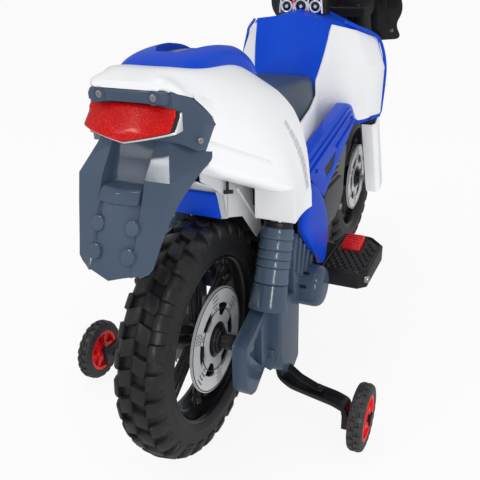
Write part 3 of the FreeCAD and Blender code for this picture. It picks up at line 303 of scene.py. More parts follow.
# Vertices closer than the gap are merged; the fine gap keeps faces apart that nearly touch
COARSE_GAP = 0.00002
FINE_GAP = 0.000005


def piece(name, bm, slot, body="frame", smooth=34.0, stands_for=(), material=None):
    """Turn a finished bmesh into a piece that rides on a body."""
    mesh = bpy.data.meshes.new(name)
    for face in bm.faces:
        face.smooth = True
    bm.to_mesh(mesh)
    bm.free()
    mesh.set_sharp_from_angle(angle=math.radians(smooth))
    item = bpy.data.objects.new(name, mesh)
    scene.collection.objects.link(item)
    wear(item, material or FINISHES[slot])
    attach(item, body)
    if stands_for:
        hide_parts(*stands_for)


def tidy(bm, gap=COARSE_GAP):
    """Merge vertices that meet and turn all faces outwards."""
    bmesh.ops.remove_doubles(bm, verts=bm.verts, dist=gap)
    bmesh.ops.recalc_face_normals(bm, faces=bm.faces)
    return bm


def round_edges(bm, width, segments, angle):
    """Round the edges that turn more than an angle."""
    sharp = [edge for edge in bm.edges if edge.is_manifold and edge.calc_face_angle(0) > math.radians(angle)]
    bmesh.ops.bevel(bm, geom=sharp, offset=width / 1000, offset_type="OFFSET", segments=segments, profile=0.5,
                    affect="EDGES", clamp_overlap=True, material=-1)
    return bm


def soften(bm, width, segments=2, angle=25.0):
    return round_edges(tidy(bm), width, segments, angle)


def join(target, extra):
    """Put the shapes of one bmesh into another."""
    mesh = bpy.data.meshes.new("join")
    extra.to_mesh(mesh)
    extra.free()
    target.from_mesh(mesh)
    bpy.data.meshes.remove(mesh)


def push(bm, faces, shift):
    """Extrude faces along a vector."""
    grown = bmesh.ops.extrude_face_region(bm, geom=faces)["geom"]
    moved = [item for item in grown if isinstance(item, bmesh.types.BMVert)]
    bmesh.ops.translate(bm, verts=moved, vec=shift)
    return bm


def slab(bm, corners, shift):
    """A flat outline pushed along a vector into a solid."""
    face = bm.faces.new([bm.verts.new(point) for point in corners])
    return push(bm, [face], shift)


def flat(points, side, inner, outer):
    """A solid from a side-view outline, between two distances from the middle plane."""
    corners = [spot(ahead, side * inner, up) for ahead, up in points]
    return tidy(slab(bmesh.new(), corners, Vector((0, side * (outer - inner) / 1000, 0))))


def thicken(bm, shift):
    """Push an open skin along a vector, so that it becomes a closed shell."""
    return tidy(push(bm, bm.faces[:], shift), FINE_GAP)


def spin_profile(bm, points, hub, axis, steps):
    """Turn an open or closed line of points round an axis through the hub."""
    verts = [bm.verts.new(point) for point in points]
    edges = [bm.edges.new(pair) for pair in zip(verts, verts[1:])]
    bmesh.ops.spin(bm, geom=verts + edges, cent=hub, axis=axis, angle=2 * math.pi, steps=steps,
                   use_merge=True)
    return bm


def turned(bm, hub, section, steps):
    """Turn a half section of radius and distance across, in millimetres, round a wheel's axis."""
    points = [hub + Vector((radius / 1000, across / 1000, 0)) for radius, across in section]
    return spin_profile(bm, points, hub, ACROSS, steps)


def both_halves(half):
    """A closed section from one half that ends on the middle plane."""
    return half + tuple((radius, -across) for radius, across in reversed(half[:-1])) + half[:1]


def round_spot(hub, radius, across, angle):
    """A place round a wheel's axis, in millimetres from its hub."""
    return hub + Vector((radius * math.cos(angle), across, radius * math.sin(angle))) / 1000


def spoke_frame(angle):
    """The outward and the sideways direction at an angle round a wheel."""
    return Vector((math.cos(angle), 0, math.sin(angle))), Vector((-math.sin(angle), 0, math.cos(angle)))


def rounded(points, radius, steps=3, closed=True):
    """Points of a line or outline with its corners rounded, in millimetres."""
    made = []
    count = len(points)
    for i, point in enumerate(points):
        here = Vector(point)
        if not closed and i in (0, count - 1):
            made.append(here)
            continue
        before = Vector(points[i - 1]) - here
        after = Vector(points[(i + 1) % count]) - here
        reach = min(radius, before.length * 0.45, after.length * 0.45)
        start = here + before.normalized() * reach
        end = here + after.normalized() * reach
        for k in range(steps + 1):
            share = k / steps
            made.append(start.lerp(here, share).lerp(here.lerp(end, share), share))
    return made


def strip(bm, first, second, ring=False):
    """Four-cornered faces between two equal rows of vertices; a ring closes each row on itself."""
    count = len(first)
    for i in range(count if ring else count - 1):
        j = (i + 1) % count
        bm.faces.new((first[i], first[j], second[j], second[i]))


def skin(bm, rows, ring=False):
    """Join equal rows of places with faces."""
    made = [[bm.verts.new(place) for place in row] for row in rows]
    for first, second in zip(made, made[1:]):
        strip(bm, first, second, ring)
    return made


def tube(bm, rows):
    """Rings of places joined into a solid with closed ends."""
    made = skin(bm, rows, ring=True)
    bm.faces.new(made[0])
    bm.faces.new(made[-1])
    return bm


def bent_line(points, side, radius):
    """Places along a line with rounded bends, on one side of the bike."""
    return [spot(*point) for point in rounded([(a, side * b, c) for a, b, c in points], radius, 4, False)]


def sweep(bm, path, section, width):
    """Carry a closed section along a path; section points are (along width, along lift)."""
    rows = []
    for i, here in enumerate(path):
        run = (path[min(i + 1, len(path) - 1)] - path[max(i - 1, 0)]).normalized()
        lift = width.cross(run).normalized()
        rows.append([here + width * across / 1000 + lift * high / 1000 for across, high in section])
    return tube(bm, rows)


def bar(bm, start, end, radius, tip=None, steps=10):
    """A round bar from one place to another, with its own radius at the tip where asked."""
    reach = end - start
    place = Matrix.Translation((start + end) / 2) @ reach.to_track_quat("Z", "Y").to_matrix().to_4x4()
    bmesh.ops.create_cone(bm, cap_ends=True, segments=steps, radius1=radius / 1000,
                          radius2=(tip or radius) / 1000, depth=reach.length, matrix=place)
    return bm


def rail(bm, loop, radius, steps):
    """Round bars along a closed line of places."""
    for start, end in zip(loop, loop[1:] + loop[:1]):
        bar(bm, start, end, radius, steps=steps)


def ring_of(bm, middle, axis, radius, tube_radius):
    """A round ring about an axis."""
    aside = axis.orthogonal().normalized()
    points = []
    for k in range(11):
        angle = math.pi * k / 5
        points.append(middle + aside * (radius + tube_radius * math.cos(angle)) / 1000
                      + axis * tube_radius * math.sin(angle) / 1000)
    spin_profile(bm, points, middle, axis, 40)


CROSS_ARM = ((-0.55, -0.12), (0.55, -0.12), (0.55, 0.12), (-0.55, 0.12))


def cross_screw(bm, place, out, radius, high):
    """A pan head with a rounded edge and a cross on it; the arms are shares of its radius."""
    head = bar(bmesh.new(), place - out * 0.004, place + out * high / 1000, radius, radius * 0.86, 18)
    join(bm, soften(head, 0.6))
    aside = out.orthogonal().normalized()
    other = out.cross(aside)
    top = place + out * (high + 0.05) / 1000
    for first, second in ((aside, other), (other, aside)):
        corners = [top + first * a * radius / 1000 + second * b * radius / 1000 for a, b in CROSS_ARM]
        slab(bm, corners, out * 0.0001)


def surface_of(name):
    """The surface of a CAD part, to lay pieces on."""
    mesh = nodes[name].data
    return BVHTree.FromPolygons([vert.co for vert in mesh.vertices],
                                [face.vertices[:] for face in mesh.polygons])


def on_side(surface, ahead, up, side, gap):
    """Where a surface is met from the side, lifted off it by a gap."""
    place = surface.ray_cast(spot(ahead, side * 300, up), Vector((0, -side, 0)))[0]
    return place + Vector((0, side * gap / 1000, 0))


# Camera at the photograph's angle

YAW, PITCH, ROLL = math.radians(24.59), math.radians(-24.37), math.radians(-1.22)
LENS = 48.61
EYE = Vector((-0.979, -0.3453, 0.6049))


def make_camera():
    forward = Vector((math.cos(PITCH) * math.cos(YAW), math.cos(PITCH) * math.sin(YAW), math.sin(PITCH)))
    level = Vector((math.sin(YAW), -math.cos(YAW), 0))
    upright = level.cross(forward)
    right = level * math.cos(ROLL) + upright * math.sin(ROLL)
    up = upright * math.cos(ROLL) - level * math.sin(ROLL)
    data = bpy.data.cameras.new("camera")
    data.lens = LENS
    data.sensor_width = 36
    data.sensor_fit = "HORIZONTAL"
    data.clip_start = 0.01
    item = bpy.data.objects.new("camera", data)
    scene.collection.objects.link(item)
    item.matrix_world = Matrix.Translation(EYE) @ Matrix((right, up, -forward)).transposed().to_4x4()
    scene.camera = item


make_camera()

# Floor, surroundings and lamps

scene.view_settings.view_transform = "Standard"
PURE_WHITE = (1, 1, 1, 1)


def ray_level(tree, plain, seen, mirrored):
    """One level for bounced light, one for what the camera sees and one for reflections."""
    path = node(tree, "ShaderNodeLightPath").outputs
    direct = math_node(tree, "MAXIMUM", path["Is Camera Ray"], path["Is Transmission Ray"])
    return span(tree, path["Is Glossy Ray"], 0.0, 1.0, span(tree, direct, 0.0, 1.0, plain, seen), mirrored)


def make_floor():
    bm = bmesh.new()
    bmesh.ops.create_grid(bm, x_segments=1, y_segments=1, size=14.0)
    mesh = bpy.data.meshes.new("studio_floor")
    bm.to_mesh(mesh)
    bm.free()
    item = bpy.data.objects.new("studio_floor", mesh)
    item.location.z = -0.0005
    scene.collection.objects.link(item)
    material, tree, shader = new_material("pale_floor", {
        "Base Color": (0.86, 0.86, 0.86, 1), "Roughness": 0.9, "Specular IOR Level": 0.1})
    glow = node(tree, "ShaderNodeEmission", Color=PURE_WHITE, Strength=ray_level(tree, 1.4, 1.0, 0.26))
    blend = node(tree, "ShaderNodeMixShader")
    share = ray_level(tree, 0.85, 0.9, 0.9)
    for socket, value in zip(blend.inputs, (share, shader.outputs[0], glow.outputs[0])):
        tree.links.new(value, socket)
    tree.links.new(blend.outputs[0], tree.nodes["Material Output"].inputs["Surface"])
    mesh.materials.append(material)


def make_world():
    world = bpy.data.worlds.new("studio")
    scene.world = world
    world.use_nodes = True
    tree = world.node_tree
    background = tree.nodes["Background"]
    background.inputs["Color"].default_value = PURE_WHITE
    tree.links.new(ray_level(tree, 0.64, 1.0, 0.36), background.inputs["Strength"])


def area_lamp(name, place, target, width, height, power):
    data = bpy.data.lights.new(name, "AREA")
    data.shape = "RECTANGLE"
    data.size = width
    data.size_y = height
    data.energy = power
    item = bpy.data.objects.new(name, data)
    item.location = place
    item.rotation_euler = (Vector(target) - Vector(place)).to_track_quat("-Z", "Y").to_euler()
    scene.collection.objects.link(item)


make_floor()
make_world()
area_lamp("key_softbox", (-1.3, -1.6, 2.1), (0, 0, 0.3), 0.4, 0.4, 5)
area_lamp("top_softbox", (-0.1, 0.3, 2.4), (0, 0, 0.3), 1.0, 0.6, 6)
area_lamp("left_softbox", (-1.38, 0.76, 1.87), (-0.475, 0, 0.42), 0.35, 0.35, 5)
area_lamp("channel_softbox", (-1.95, 1.0, 1.22), (-0.475, 0, 0.40), 0.4, 0.4, 1.0)
area_lamp("rear_softbox", (-1.75, -1.15, 0.75), (-0.1, 0, 0.25), 0.18, 0.6, 5)

# Moulded edges on the plain panels

# Widths of the rounded edges
SOFT_EDGES = {"engine_covers": 3.0, "footrest_left": 3.0, "footrest_right": 3.0, "accelerator_pedal": 2.0,
              "dash_panel": 2.5, "horn_button": 1.2, "power_switch": 1.0, "upper_clamp": 2.5,
              "steering_stem": 2.0, "headlamp": 2.5, "tank": 1.2, "tank_shroud_right": 1.0,
              "tank_shroud_left": 1.0, "front_mudguard": 1.2, "seat_insert": 1.0}
OTHER_FINISH = {"tank": tank_blue, "engine_covers": engine_grey, "upper_clamp": black, "steering_stem": black}


def soften_node(name, width):
    """A copy of a CAD solid with rounded moulded edges stands for it."""
    bm = bmesh.new()
    bm.from_mesh(nodes[name].data)
    bmesh.ops.remove_doubles(bm, verts=bm.verts, dist=0.00001)
    bmesh.ops.dissolve_limit(bm, angle_limit=math.radians(0.6), use_dissolve_boundaries=False,
                             verts=bm.verts, edges=bm.edges)
    round_edges(bm, width, 2, 28.0)
    piece(name + "_moulded", bm, SLOT_OF[name], BODY_OF[name], 40.0, (name,), OTHER_FINISH.get(name))


for name, width in SOFT_EDGES.items():
    soften_node(name, width)

# Road wheels: knobby tyre, spoked rim, disc with black dots of painted shade for its drilled holes; sections
# are (radius, across)

ROAD_WHEELS = (("rear", spot(0, 0, WHEEL_RADIUS)), ("front", spot(WHEELBASE, 0, WHEEL_RADIUS)))
TREAD_BLOCKS = 28
BLOCK_FLARE = 1.16
CROWN = ((0.8, 154.4), (8.0, 154.0), (15.5, 152.6))
SHOULDER_LINE = ((17.0, 151.8), (22.0, 149.8), (26.5, 145.6), (29.2, 139.0))
CARCASS = ((106, 24), (109, 27), (114, 28.2), (116.5, 29.2), (119, 28.4), (127, 29.2), (136, 28.2),
           (141.5, 24), (145.5, 17), (147.6, 8), (148.2, 0))
SEAM = ((147, 0.9), (154.2, 0.7), (154.9, 0.25), (154.9, -0.25), (154.2, -0.7), (147, -0.9))
RIM_BARREL = ((106, 24), (107.5, 25.6), (104.5, 26.4), (102.2, 24.6), (101, 20), (98.6, 12), (98, 0))
RIM_HUB = ((6.05, -37), (13, -37), (14.5, -36), (14.5, -33.6), (17.4, -33.2), (18.2, -32.2), (18.2, -30.4),
           (22, -29.6), (23, -28.4), (23, -6), (26, -3), (26, 6), (23, 10), (23, 40), (6.05, 40), (6.05, -37))
SPOKE_PAIRS = 6
SPOKE_ROOT, ROOT_SPREAD = 0.021, 0.0055
SPOKE_END, END_SPREAD = 0.099, 0.0105
HOLE_SHADE_RINGS = (44.0, 49.5, 55.0, 60.5)
DISC_FACE = -29.15


def tread_block(bm, hub, side, line, root, middle, half, skew):
    """One knob: its top follows a line of (across, radius) and its flanks lean out towards the carcass."""
    inner, outer = line[0], line[-1]
    near = (inner[0] - 0.4, inner[1] - root)
    far = (outer[0] + 0.5, outer[1] - root)
    top = [near, *line, far]
    foot = [near, *((across, radius - root) for across, radius in line), far]
    rows = []
    for turn, points in ((-half * BLOCK_FLARE, foot), (-half, top), (half, top), (half * BLOCK_FLARE, foot)):
        rows.append([round_spot(hub, radius, side * across,
                                2 * math.pi / TREAD_BLOCKS * (middle + turn + skew * across / 15))
                     for across, radius in points])
    skin(bm, rows)


def make_road_tyre(wheel, hub):
    bm = bmesh.new()
    for side in BOTH:
        for i in range(TREAD_BLOCKS):
            middle = i if side > 0 else i + 0.5
            tread_block(bm, hub, side, CROWN, 6.5, middle, 0.27, 0.16)
            tread_block(bm, hub, side, SHOULDER_LINE, 7.0, middle + 0.62, 0.26, 0.0)
    soften(bm, 0.7, 2, 30.0)
    turned(bm, hub, both_halves(CARCASS), 112)
    turned(bm, hub, SEAM, 112)
    name = wheel + "_tyre"
    piece(name + "_knobby", tidy(bm, FINE_GAP), "tyre_black", wheel + "_wheel", 38.0, (name,))


def make_road_rim(wheel, hub):
    bm = bmesh.new()
    turned(bm, hub, both_halves(RIM_BARREL), 96)
    turned(bm, hub, RIM_HUB, 48)
    for i in range(SPOKE_PAIRS):
        along, aside = spoke_frame(2 * math.pi * (i + 0.5) / SPOKE_PAIRS)
        for side in BOTH:
            root = hub + along * SPOKE_ROOT + aside * side * ROOT_SPREAD
            end = hub + along * SPOKE_END + aside * side * END_SPREAD
            bar(bm, root, end, 5.6, 4.9, 14)
            bar(bm, end - along * 0.010, end, 5.2, 8.5, 14)
    name = wheel + "_rim"
    piece(name + "_spoked", tidy(bm), "rim_black", wheel + "_wheel", 38.0, (name,))


def make_disc_hole_shade(wheel, hub):
    """Black dots between the windows of the plated disc, painted shade standing for shallow drilled holes,
    and a line inside each of its edges.
    """
    bm = bmesh.new()
    for i in range(SPOKE_PAIRS):
        for k in range(4):
            for ring, radius in enumerate(HOLE_SHADE_RINGS):
                if ring == 0 and k in (0, 3):
                    continue
                spread = 0.052 * 52 / radius
                angle = math.pi / 3 * (i + 0.5) + (k - 1.5) * spread * 1.35 + (ring % 2) * spread * 0.5
                face = round_spot(hub, radius, DISC_FACE, angle)
                bar(bm, face + ACROSS * 0.001, face, 1.35, steps=8)
    for radius in (66.2, 40.5):
        line = ((radius - 0.7, -28.5), (radius - 0.6, -29.5), (radius + 0.6, -29.5), (radius + 0.7, -28.5))
        turned(bm, hub, line, 72)
    piece(wheel + "_disc_hole_shade", bm, "rim_black", wheel + "_wheel", 38.0, material=black)


for wheel, hub in ROAD_WHEELS:
    make_road_tyre(wheel, hub)
    make_road_rim(wheel, hub)
    make_disc_hole_shade(wheel, hub)

# Rear mudguard: folded plate with a sunk channel, a crossbar and four bolts
# Rows are height, half width, sweep forward, groove, centre lift and the front corner (ahead, half width, up)

GUARD_ROWS = (
    (442, 36.5, 0.0, 3.0, -3.0, (-48, 60.0, 441)), (430, 41.0, 0.0, 9.0, -9.0, (-50, 62.5, 431)),
    (418, 46.0, 0.0, 13.0, -13.0, (-56, 63.5, 421)), (406, 51.2, 0.0, 15.0, -15.0, (-62, 62.0, 411)),
    (398, 50.8, 1.5, 15.0, -15.0, (-84, 56.5, 399)), (384, 49.8, 3.5, 2.6, 12.0, (-113, 53.0, 383)),
    (370, 48.5, 5.5, 2.4, 10.0, (-128, 50.5, 370)), (352, 46.3, 7.5, 2.2, 7.0, (-141, 47.2, 352)),
    (337, 43.8, 8.5, 2.0, 3.6, (-149, 44.4, 337)), (329, 42.2, 8.5, 1.8, 2.0, (-153, 42.6, 329)),
    (324.5, 37.0, 7.5, 1.6, 1.0, (-156, 37.4, 324.5)), (321.0, 29.0, 5.5, 1.4, 0.5, (-160, 29.3, 321)))
GUARD_BEND = 406
GUARD_REAR = -127
GUARD_WALL = 0.0034
GUARD_TIP = -6.0
GUARD_BEAM = ((397.5, -16), (397.5, -1), (395, 2.5), (386, 4.0), (383, 0.5), (383, -9))
GUARD_BOLTS = ((19.3, 362.5), (-19.3, 362.5), (19.1, 337.5), (-19.1, 337.5))
GUARD_OUT = Vector((-0.912, 0, 0.409))


def guard_place(left, height, lift):
    """A place on the bent rear plane of the mudguard, lifted off it to the rear."""
    slope = 0.8 if height > GUARD_BEND else 0.4487
    return spot(GUARD_REAR + (height - GUARD_BEND) * slope - lift, left, height)


def make_mudguard():
    bm = bmesh.new()
    rows = []
    for height, half, sweep_forward, groove, centre, (ahead, wide, up) in GUARD_ROWS:
        tip = GUARD_TIP if height == GUARD_ROWS[-1][0] else 0.0
        right = [guard_place(-half, height, -sweep_forward), guard_place(-24, height, 0),
                 guard_place(-22, height, -groove),
                 guard_place(-11, height + tip * 0.5, (centre - groove) / 2),
                 guard_place(0, height + tip, centre)]
        left = [Vector((place.x, -place.y, place.z)) for place in reversed(right[:-1])]
        rows.append([spot(ahead, -wide, up)] + right + left + [spot(ahead, wide, up)])
    skin(bm, rows)
    tidy(bm)
    bmesh.ops.solidify(bm, geom=bm.faces[:], thickness=GUARD_WALL)
    soften(bm, 1.0, 2, 24.0)
    beam = bmesh.new()
    skin(beam, [[guard_place(left, height, lift + (bulge if lift > -5 else 0)) for height, lift in GUARD_BEAM]
                for left, bulge in ((-22.0, 0.0), (0.0, 6.5), (22.0, 0.0))], ring=True)
    bmesh.ops.holes_fill(beam, edges=[edge for edge in beam.edges if edge.is_boundary], sides=0)
    join(bm, soften(beam, 1.3, 2, 18.0))
    for left, height in GUARD_BOLTS:
        seat = guard_place(left, height, -3.0)
        join(bm, soften(bar(bmesh.new(), seat, seat + GUARD_OUT * 0.0066, 8.3, 7.9, 12), 1.1))
    piece("mudguard_folded", bm, "slate_plastic", smooth=16.0, stands_for=("rear_mudguard",))


make_mudguard()

# Tail lamp: curved prism lens, gasket and plated frame, then the strip with screws and the housing

LENS_HALF = 48
LENS_BOTTOM = 441
LENS_FOLD = 449
LENS_FOLD_AHEAD = -129
LENS_WRAP = 12
LENS_FRONT_LIMIT = -103
LENS_ROWS = 8
LENS_COLUMNS = 16
LENS_CROWN = 4
STRIP = ((-40, 486.5), (40, 486.5), (43, 481), (42.5, 474.5), (-42.5, 474.5), (-43, 481))
STRIP_CUP = ((5.6, 0.0), (6.4, 0.0), (6.8, 0.8), (5.4, 0.9), (5.0, 0.0))
STRIP_SCREWS = ((-29.7, 480.5), (29.7, 480.5))
HOUSING_ROWS = (((-102, 0, 487), (-102, 44, 486), (-95, 50, 482), (-80, 56.5, 474.5), (-63, 64.3, 457)),
                ((-102, 0, 460), (-102, 46, 459), (-95, 54, 457), (-79, 63, 452), (-57, 65.3, 446)),
                ((-102, 0, 437), (-102, 38, 438), (-97, 49, 435), (-86, 60, 427), (-58, 60, 422)),
                ((-86, 0, 436), (-86, 36, 434), (-84, 44, 431), (-76, 53, 424), (-54, 56, 419)))


def lens_rear(height, left):
    """How far ahead the rear face of the lens lies: folded at one height and wrapped round at the sides."""
    slope = 20 / 21 if height > LENS_FOLD else -0.33
    wrap = LENS_WRAP * (abs(left) / LENS_HALF) ** 2.2
    return min(LENS_FOLD_AHEAD + (height - LENS_FOLD) * slope + wrap, LENS_FRONT_LIMIT)


def lamp_shell(name, half, top, grow, lift, depth, slot, stands_for=()):
    """A shell with the lens outline: curved rear face, flat front."""
    bm = bmesh.new()
    rows, backs = [], []
    for k in range(LENS_ROWS + 1):
        row, back = [], []
        for i in range(LENS_COLUMNS + 1):
            left = half * (i - LENS_COLUMNS / 2) / (LENS_COLUMNS / 2)
            crown = top + LENS_CROWN * (1 - (left / half) ** 2)
            bottom = LENS_BOTTOM - grow + 10 * abs(left) / LENS_HALF
            height = crown + (bottom - crown) * k / LENS_ROWS
            row.append(spot(lens_rear(height, left) - lift, left, height))
            back.append(spot(depth, left, height))
        rows.append(row)
        backs.append(back)
    rear = skin(bm, rows)
    front = skin(bm, backs)
    for end in (0, -1):
        strip(bm, rear[end], front[end])
    for end in (0, -1):
        strip(bm, [row[end] for row in rear], [row[end] for row in front])
    piece(name, soften(bm, 1.1, 3, 40.0), slot, smooth=40.0, stands_for=stands_for)


def make_lamp_strip():
    """Strip above the lens with two sunk screws, and a screw on each wing."""
    bm = slab(bmesh.new(), [spot(-100, left, up) for left, up in STRIP], REARWARD * 0.0105)
    soften(bm, 1.4, 3, 30.0)
    screws = bmesh.new()
    for left, up in STRIP_SCREWS:
        middle = spot(-110.2, left, up)
        points = [middle + Vector((-lift / 1000, 0, radius / 1000)) for radius, lift in STRIP_CUP]
        join(bm, tidy(spin_profile(bmesh.new(), points, middle, -REARWARD, 24)))
        cross_screw(screws, spot(-110.4, left, up), REARWARD, 4.2, 0.9)
    for side in BOTH:
        out = Vector((-0.45, side * 0.88, -0.1)).normalized()
        cross_screw(screws, spot(-84, side * 62.5, 437), out, 3.6, 1.6)
    piece("lamp_strip", bm, "slate_plastic")
    piece("lamp_screws", screws, "steel")


def make_lamp_housing():
    """Faceted shell round the lamp with a wing down each side."""
    rings = []
    for i in range(-4, 5):
        side = 1 if i > 0 else -1
        column = [row[abs(i)] for row in HOUSING_ROWS]
        for ahead, wide, up in (column[1], (*column[0][:2], column[0][2] - 1)):
            column.append((ahead + 4, max(wide - 3, 0), up))
        rings.append([spot(ahead, side * wide, up) for ahead, wide, up in column])
    bm = soften(tube(bmesh.new(), rings), 0.9, 2, 26.0)
    piece("lamp_housing_faceted", bm, "slate_plastic", smooth=15.0, stands_for=("lamp_housing",))


lamp_shell("tail_lens_curved", 47.5, 469.0, 0, 0.0, -101, "lens_red", ("tail_lens",))
lamp_shell("tail_lamp_gasket", 50.2, 467.0, 1.2, -2.0, -97, "black_plastic")
lamp_shell("tail_lamp_frame", 51.5, 466.0, 3.5, -4.0, -96, "disc_chrome")
make_lamp_strip()
make_lamp_housing()

# Rear fork castings with barrels, and the boots on them; side-view outlines are (ahead, up)

ARM = ((-18, 163), (-18, 102), (-6, 86), (10, 81), (38, 97), (64, 112), (64, 191))
ARM_RECESS = ((-10, 150), (31, 106), (29, 167.5))
BLOCK = ((57, 112), (68, 80), (94, 58), (116, 54), (134, 64), (133, 152), (114, 177), (60, 194))
SHOULDER = ((112, 176), (134, 152), (190, 196), (188, 204), (150, 240), (120, 262), (108, 240))
NECK = ((128, 150), (199, 150), (199, 190), (128, 176))
# Solid blocks of a casting: outline, its two distances from the middle plane, rounding of the edges
CASTING = ((BLOCK, 52, 92, (4.0, 4, 30.0)), (SHOULDER, 62, 91, (2.5, 2, 30.0)), (NECK, 40.2, 90, (2.0,)))
RIDGES = 4
LUMP = ((69, 88), (80, 84), (85, 100), (84, 117), (74, 119), (69, 104))
COLLAR = ((0.1, 1), (24.6, 1), (25.2, 3.5), (24.6, 10), (23.4, 20), (22.6, 30), (22.3, 34), (21, 35),
          (0.1, 35))
BARREL = ((0.1, 0), (29.5, 0), (29.5, 33), (28.8, 37.5), (26.8, 41.5), (23.4, 44.2), (17, 45.6), (9, 46),
          (0.1, 46))
BARREL_AHEAD = 160
BARREL_UP = 167
BARREL_SLOT = ((-2.2, -11), (2.2, -11), (2.2, 11), (-2.2, 11))
LEAN = math.radians(20)
BOOT_AXIS = Vector((math.sin(LEAN), 0, math.cos(LEAN)))
BOOT_ASIDE = Vector((math.cos(LEAN), 0, -math.sin(LEAN)))
# Each ring of a boot: from, to, radius of the lip, radius of the waist
BOOT_RINGS = ((35.2, 56.5, 22.5, 21.6), (56.5, 67.0, 22.5, 21.8), (67.0, 78.7, 22.4, 21.6),
              (78.7, 92.5, 22.3, 21.4), (92.5, 107.0, 22.2, 20.8))
BOOT_CAP = ((11.7, 106.5), (18.2, 106.5), (18.6, 108), (18.6, 113), (17.6, 114), (11.7, 114))


def boot_spot(lift, side):
    return spot(52 + lift * math.sin(LEAN), side * 76, 180 + lift * math.cos(LEAN))


def turned_on_boot(profile, side, steps):
    """Turn a section of (radius, lift) round the leaning axis of a boot."""
    points = [boot_spot(lift, side) + BOOT_ASIDE * radius / 1000 for radius, lift in profile]
    return tidy(spin_profile(bmesh.new(), points, boot_spot(0, side), BOOT_AXIS, steps))


def sunk_plate(outer, inner, side, base, top, floor):
    """A solid from a side-view outline with a second outline sunk into its outer face."""
    bm = bmesh.new()
    body = skin(bm, [[spot(a, side * high, z) for a, z in outer] for high in (base, top)], ring=True)
    well = skin(bm, [[spot(a, side * high, z) for a, z in inner] for high in (top, floor)], ring=True)
    bm.faces.new(body[0])
    bm.faces.new(well[1])
    bmesh.ops.bridge_loops(bm, edges=[edge for edge in bm.edges if edge.is_boundary])
    return bm


def make_rear_fork(name, side):
    bm = soften(sunk_plate(rounded(ARM, 5), rounded(ARM_RECESS, 4), side, 57, 77, 67), 2.4, 3, 40.0)
    for outline, inner, outer, edge in CASTING:
        join(bm, soften(flat(outline, side, inner, outer), *edge))
    for k in range(RIDGES):
        ridge = ((124 + k * 17, 254 - k * 15), (131 + k * 17, 248 - k * 15),
                 (122 + k * 14, 200 - k * 10), (115 + k * 14, 206 - k * 10))
        join(bm, soften(flat(ridge, side, 88, 95), 1.6))
    join(bm, turned_on_boot(COLLAR, side, 40))
    hub = spot(BARREL_AHEAD, side * 74, BARREL_UP)
    join(bm, tidy(turned(bmesh.new(), hub, [(radius, side * reach) for radius, reach in BARREL], 48)))
    lump = slab(bmesh.new(), [spot(53.5, side * left, up) for left, up in LUMP], REARWARD * -0.012)
    join(bm, soften(lump, 2.2, 3, 30.0))
    bar(bm, spot(52.0, side * 78, 104), spot(56, side * 78, 104), 3.6, 4.6, 14)
    piece(name + "_cast", bm, "slate_plastic", stands_for=(name,))


def make_boot(name, side):
    """Stacked rings with a fine groove below each: a full lip, a slight waist, a rounded top."""
    profile = [(11.5, 33.0)]
    for low, high, wide, narrow in BOOT_RINGS:
        tall = high - low
        profile += [(wide - 2.4, low + 0.1), (wide - 0.9, low + 0.5), (wide - 0.1, low + 1.6),
                    (wide, low + 0.24 * tall), (narrow, low + 0.5 * tall), (narrow + 0.1, low + 0.7 * tall),
                    (narrow - 0.3, high - 1.3), (narrow - 1.2, high - 0.3)]
    profile += [(18.5, 107.4), (11.5, 107.4), (11.5, 33.0)]
    piece(name + "_bellows", turned_on_boot(profile, side, 48), "boot_slate", stands_for=(name,))
    piece(name + "_cap", turned_on_boot(BOOT_CAP, side, 40), "black_plastic")


def make_barrel_slot_shade(label, side):
    # Black slabs on the barrel are painted shade standing for two slots in it.
    bm = bmesh.new()
    for turn in (122, 160):
        out, along = spoke_frame(math.radians(turn))
        middle = spot(BARREL_AHEAD, side * 90, BARREL_UP) + out * 0.0287
        corners = [middle + along * a / 1000 + Vector((0, side * b / 1000, 0)) for a, b in BARREL_SLOT]
        slab(bm, corners, out * 0.0011)
    piece("barrel_slot_shade_" + label, tidy(bm), "black_plastic")


for label, side in SIDES:
    make_rear_fork("rear_fork_" + label, side)
    make_boot("fork_boot_" + label, side)
    make_barrel_slot_shade(label, side)

# Stabilisers: bent channel, brace strap, ribbed wheel with a spoked hub

BRACKET_PATH = ((112, 74, 62), (111, 77, 44), (100, 95, 42), (66, 168, 58), (59, 184, 58), (57.5, 187.3, 50),
                (57.5, 187.3, 28))
CHANNEL = ((-13, -1.6), (13, -1.6), (13, 5.4), (10.6, 5.4), (10.6, 1.2), (-10.6, 1.2), (-10.6, 5.4),
           (-13, 5.4))
STRAP_PATH = ((102, 74, 74), (86, 112, 62), (79, 136, 58.5), (75, 147, 60))
STRAP = ((-6.5, -1.4), (6.5, -1.4), (6.5, 1.4), (-6.5, 1.4))
SMALL_TYRE = ((31, 9.6), (36, 10), (39.5, 9.6), (42.2, 7.6), (42.8, 6.4), (42.8, 4.6), (41.6, 4.2),
              (41.6, 3.4), (42.8, 3.0), (43, 0))
SMALL_LUGS = 22
LUG_LINE = ((0.5, 44.6), (5.0, 44.6), (8.6, 42.6), (10.0, 38.5))
LUG_TURNS = ((-0.088, 3), (-0.070, 0), (0.070, 0), (0.088, 3))
SMALL_RING = ((31, -9), (31, 9), (28, 9.4), (26.4, 8.6), (26, 4), (26, -4), (26.4, -8.6), (28, -9.4),
              (31, -9))
SMALL_BOSS = ((5.05, -9), (12, -9), (13.4, -8), (13.6, -4), (13.6, 4), (13.4, 8), (12, 9), (5.05, 9),
              (5.05, -9))
SMALL_WEB = ((13.4, -1.4), (26.4, -1.4), (26.4, 1.4), (13.4, 1.4))
SMALL_SPOKE = ((0.012, -0.0042), (0.0275, -0.0030), (0.0275, 0.0030), (0.012, 0.0042))


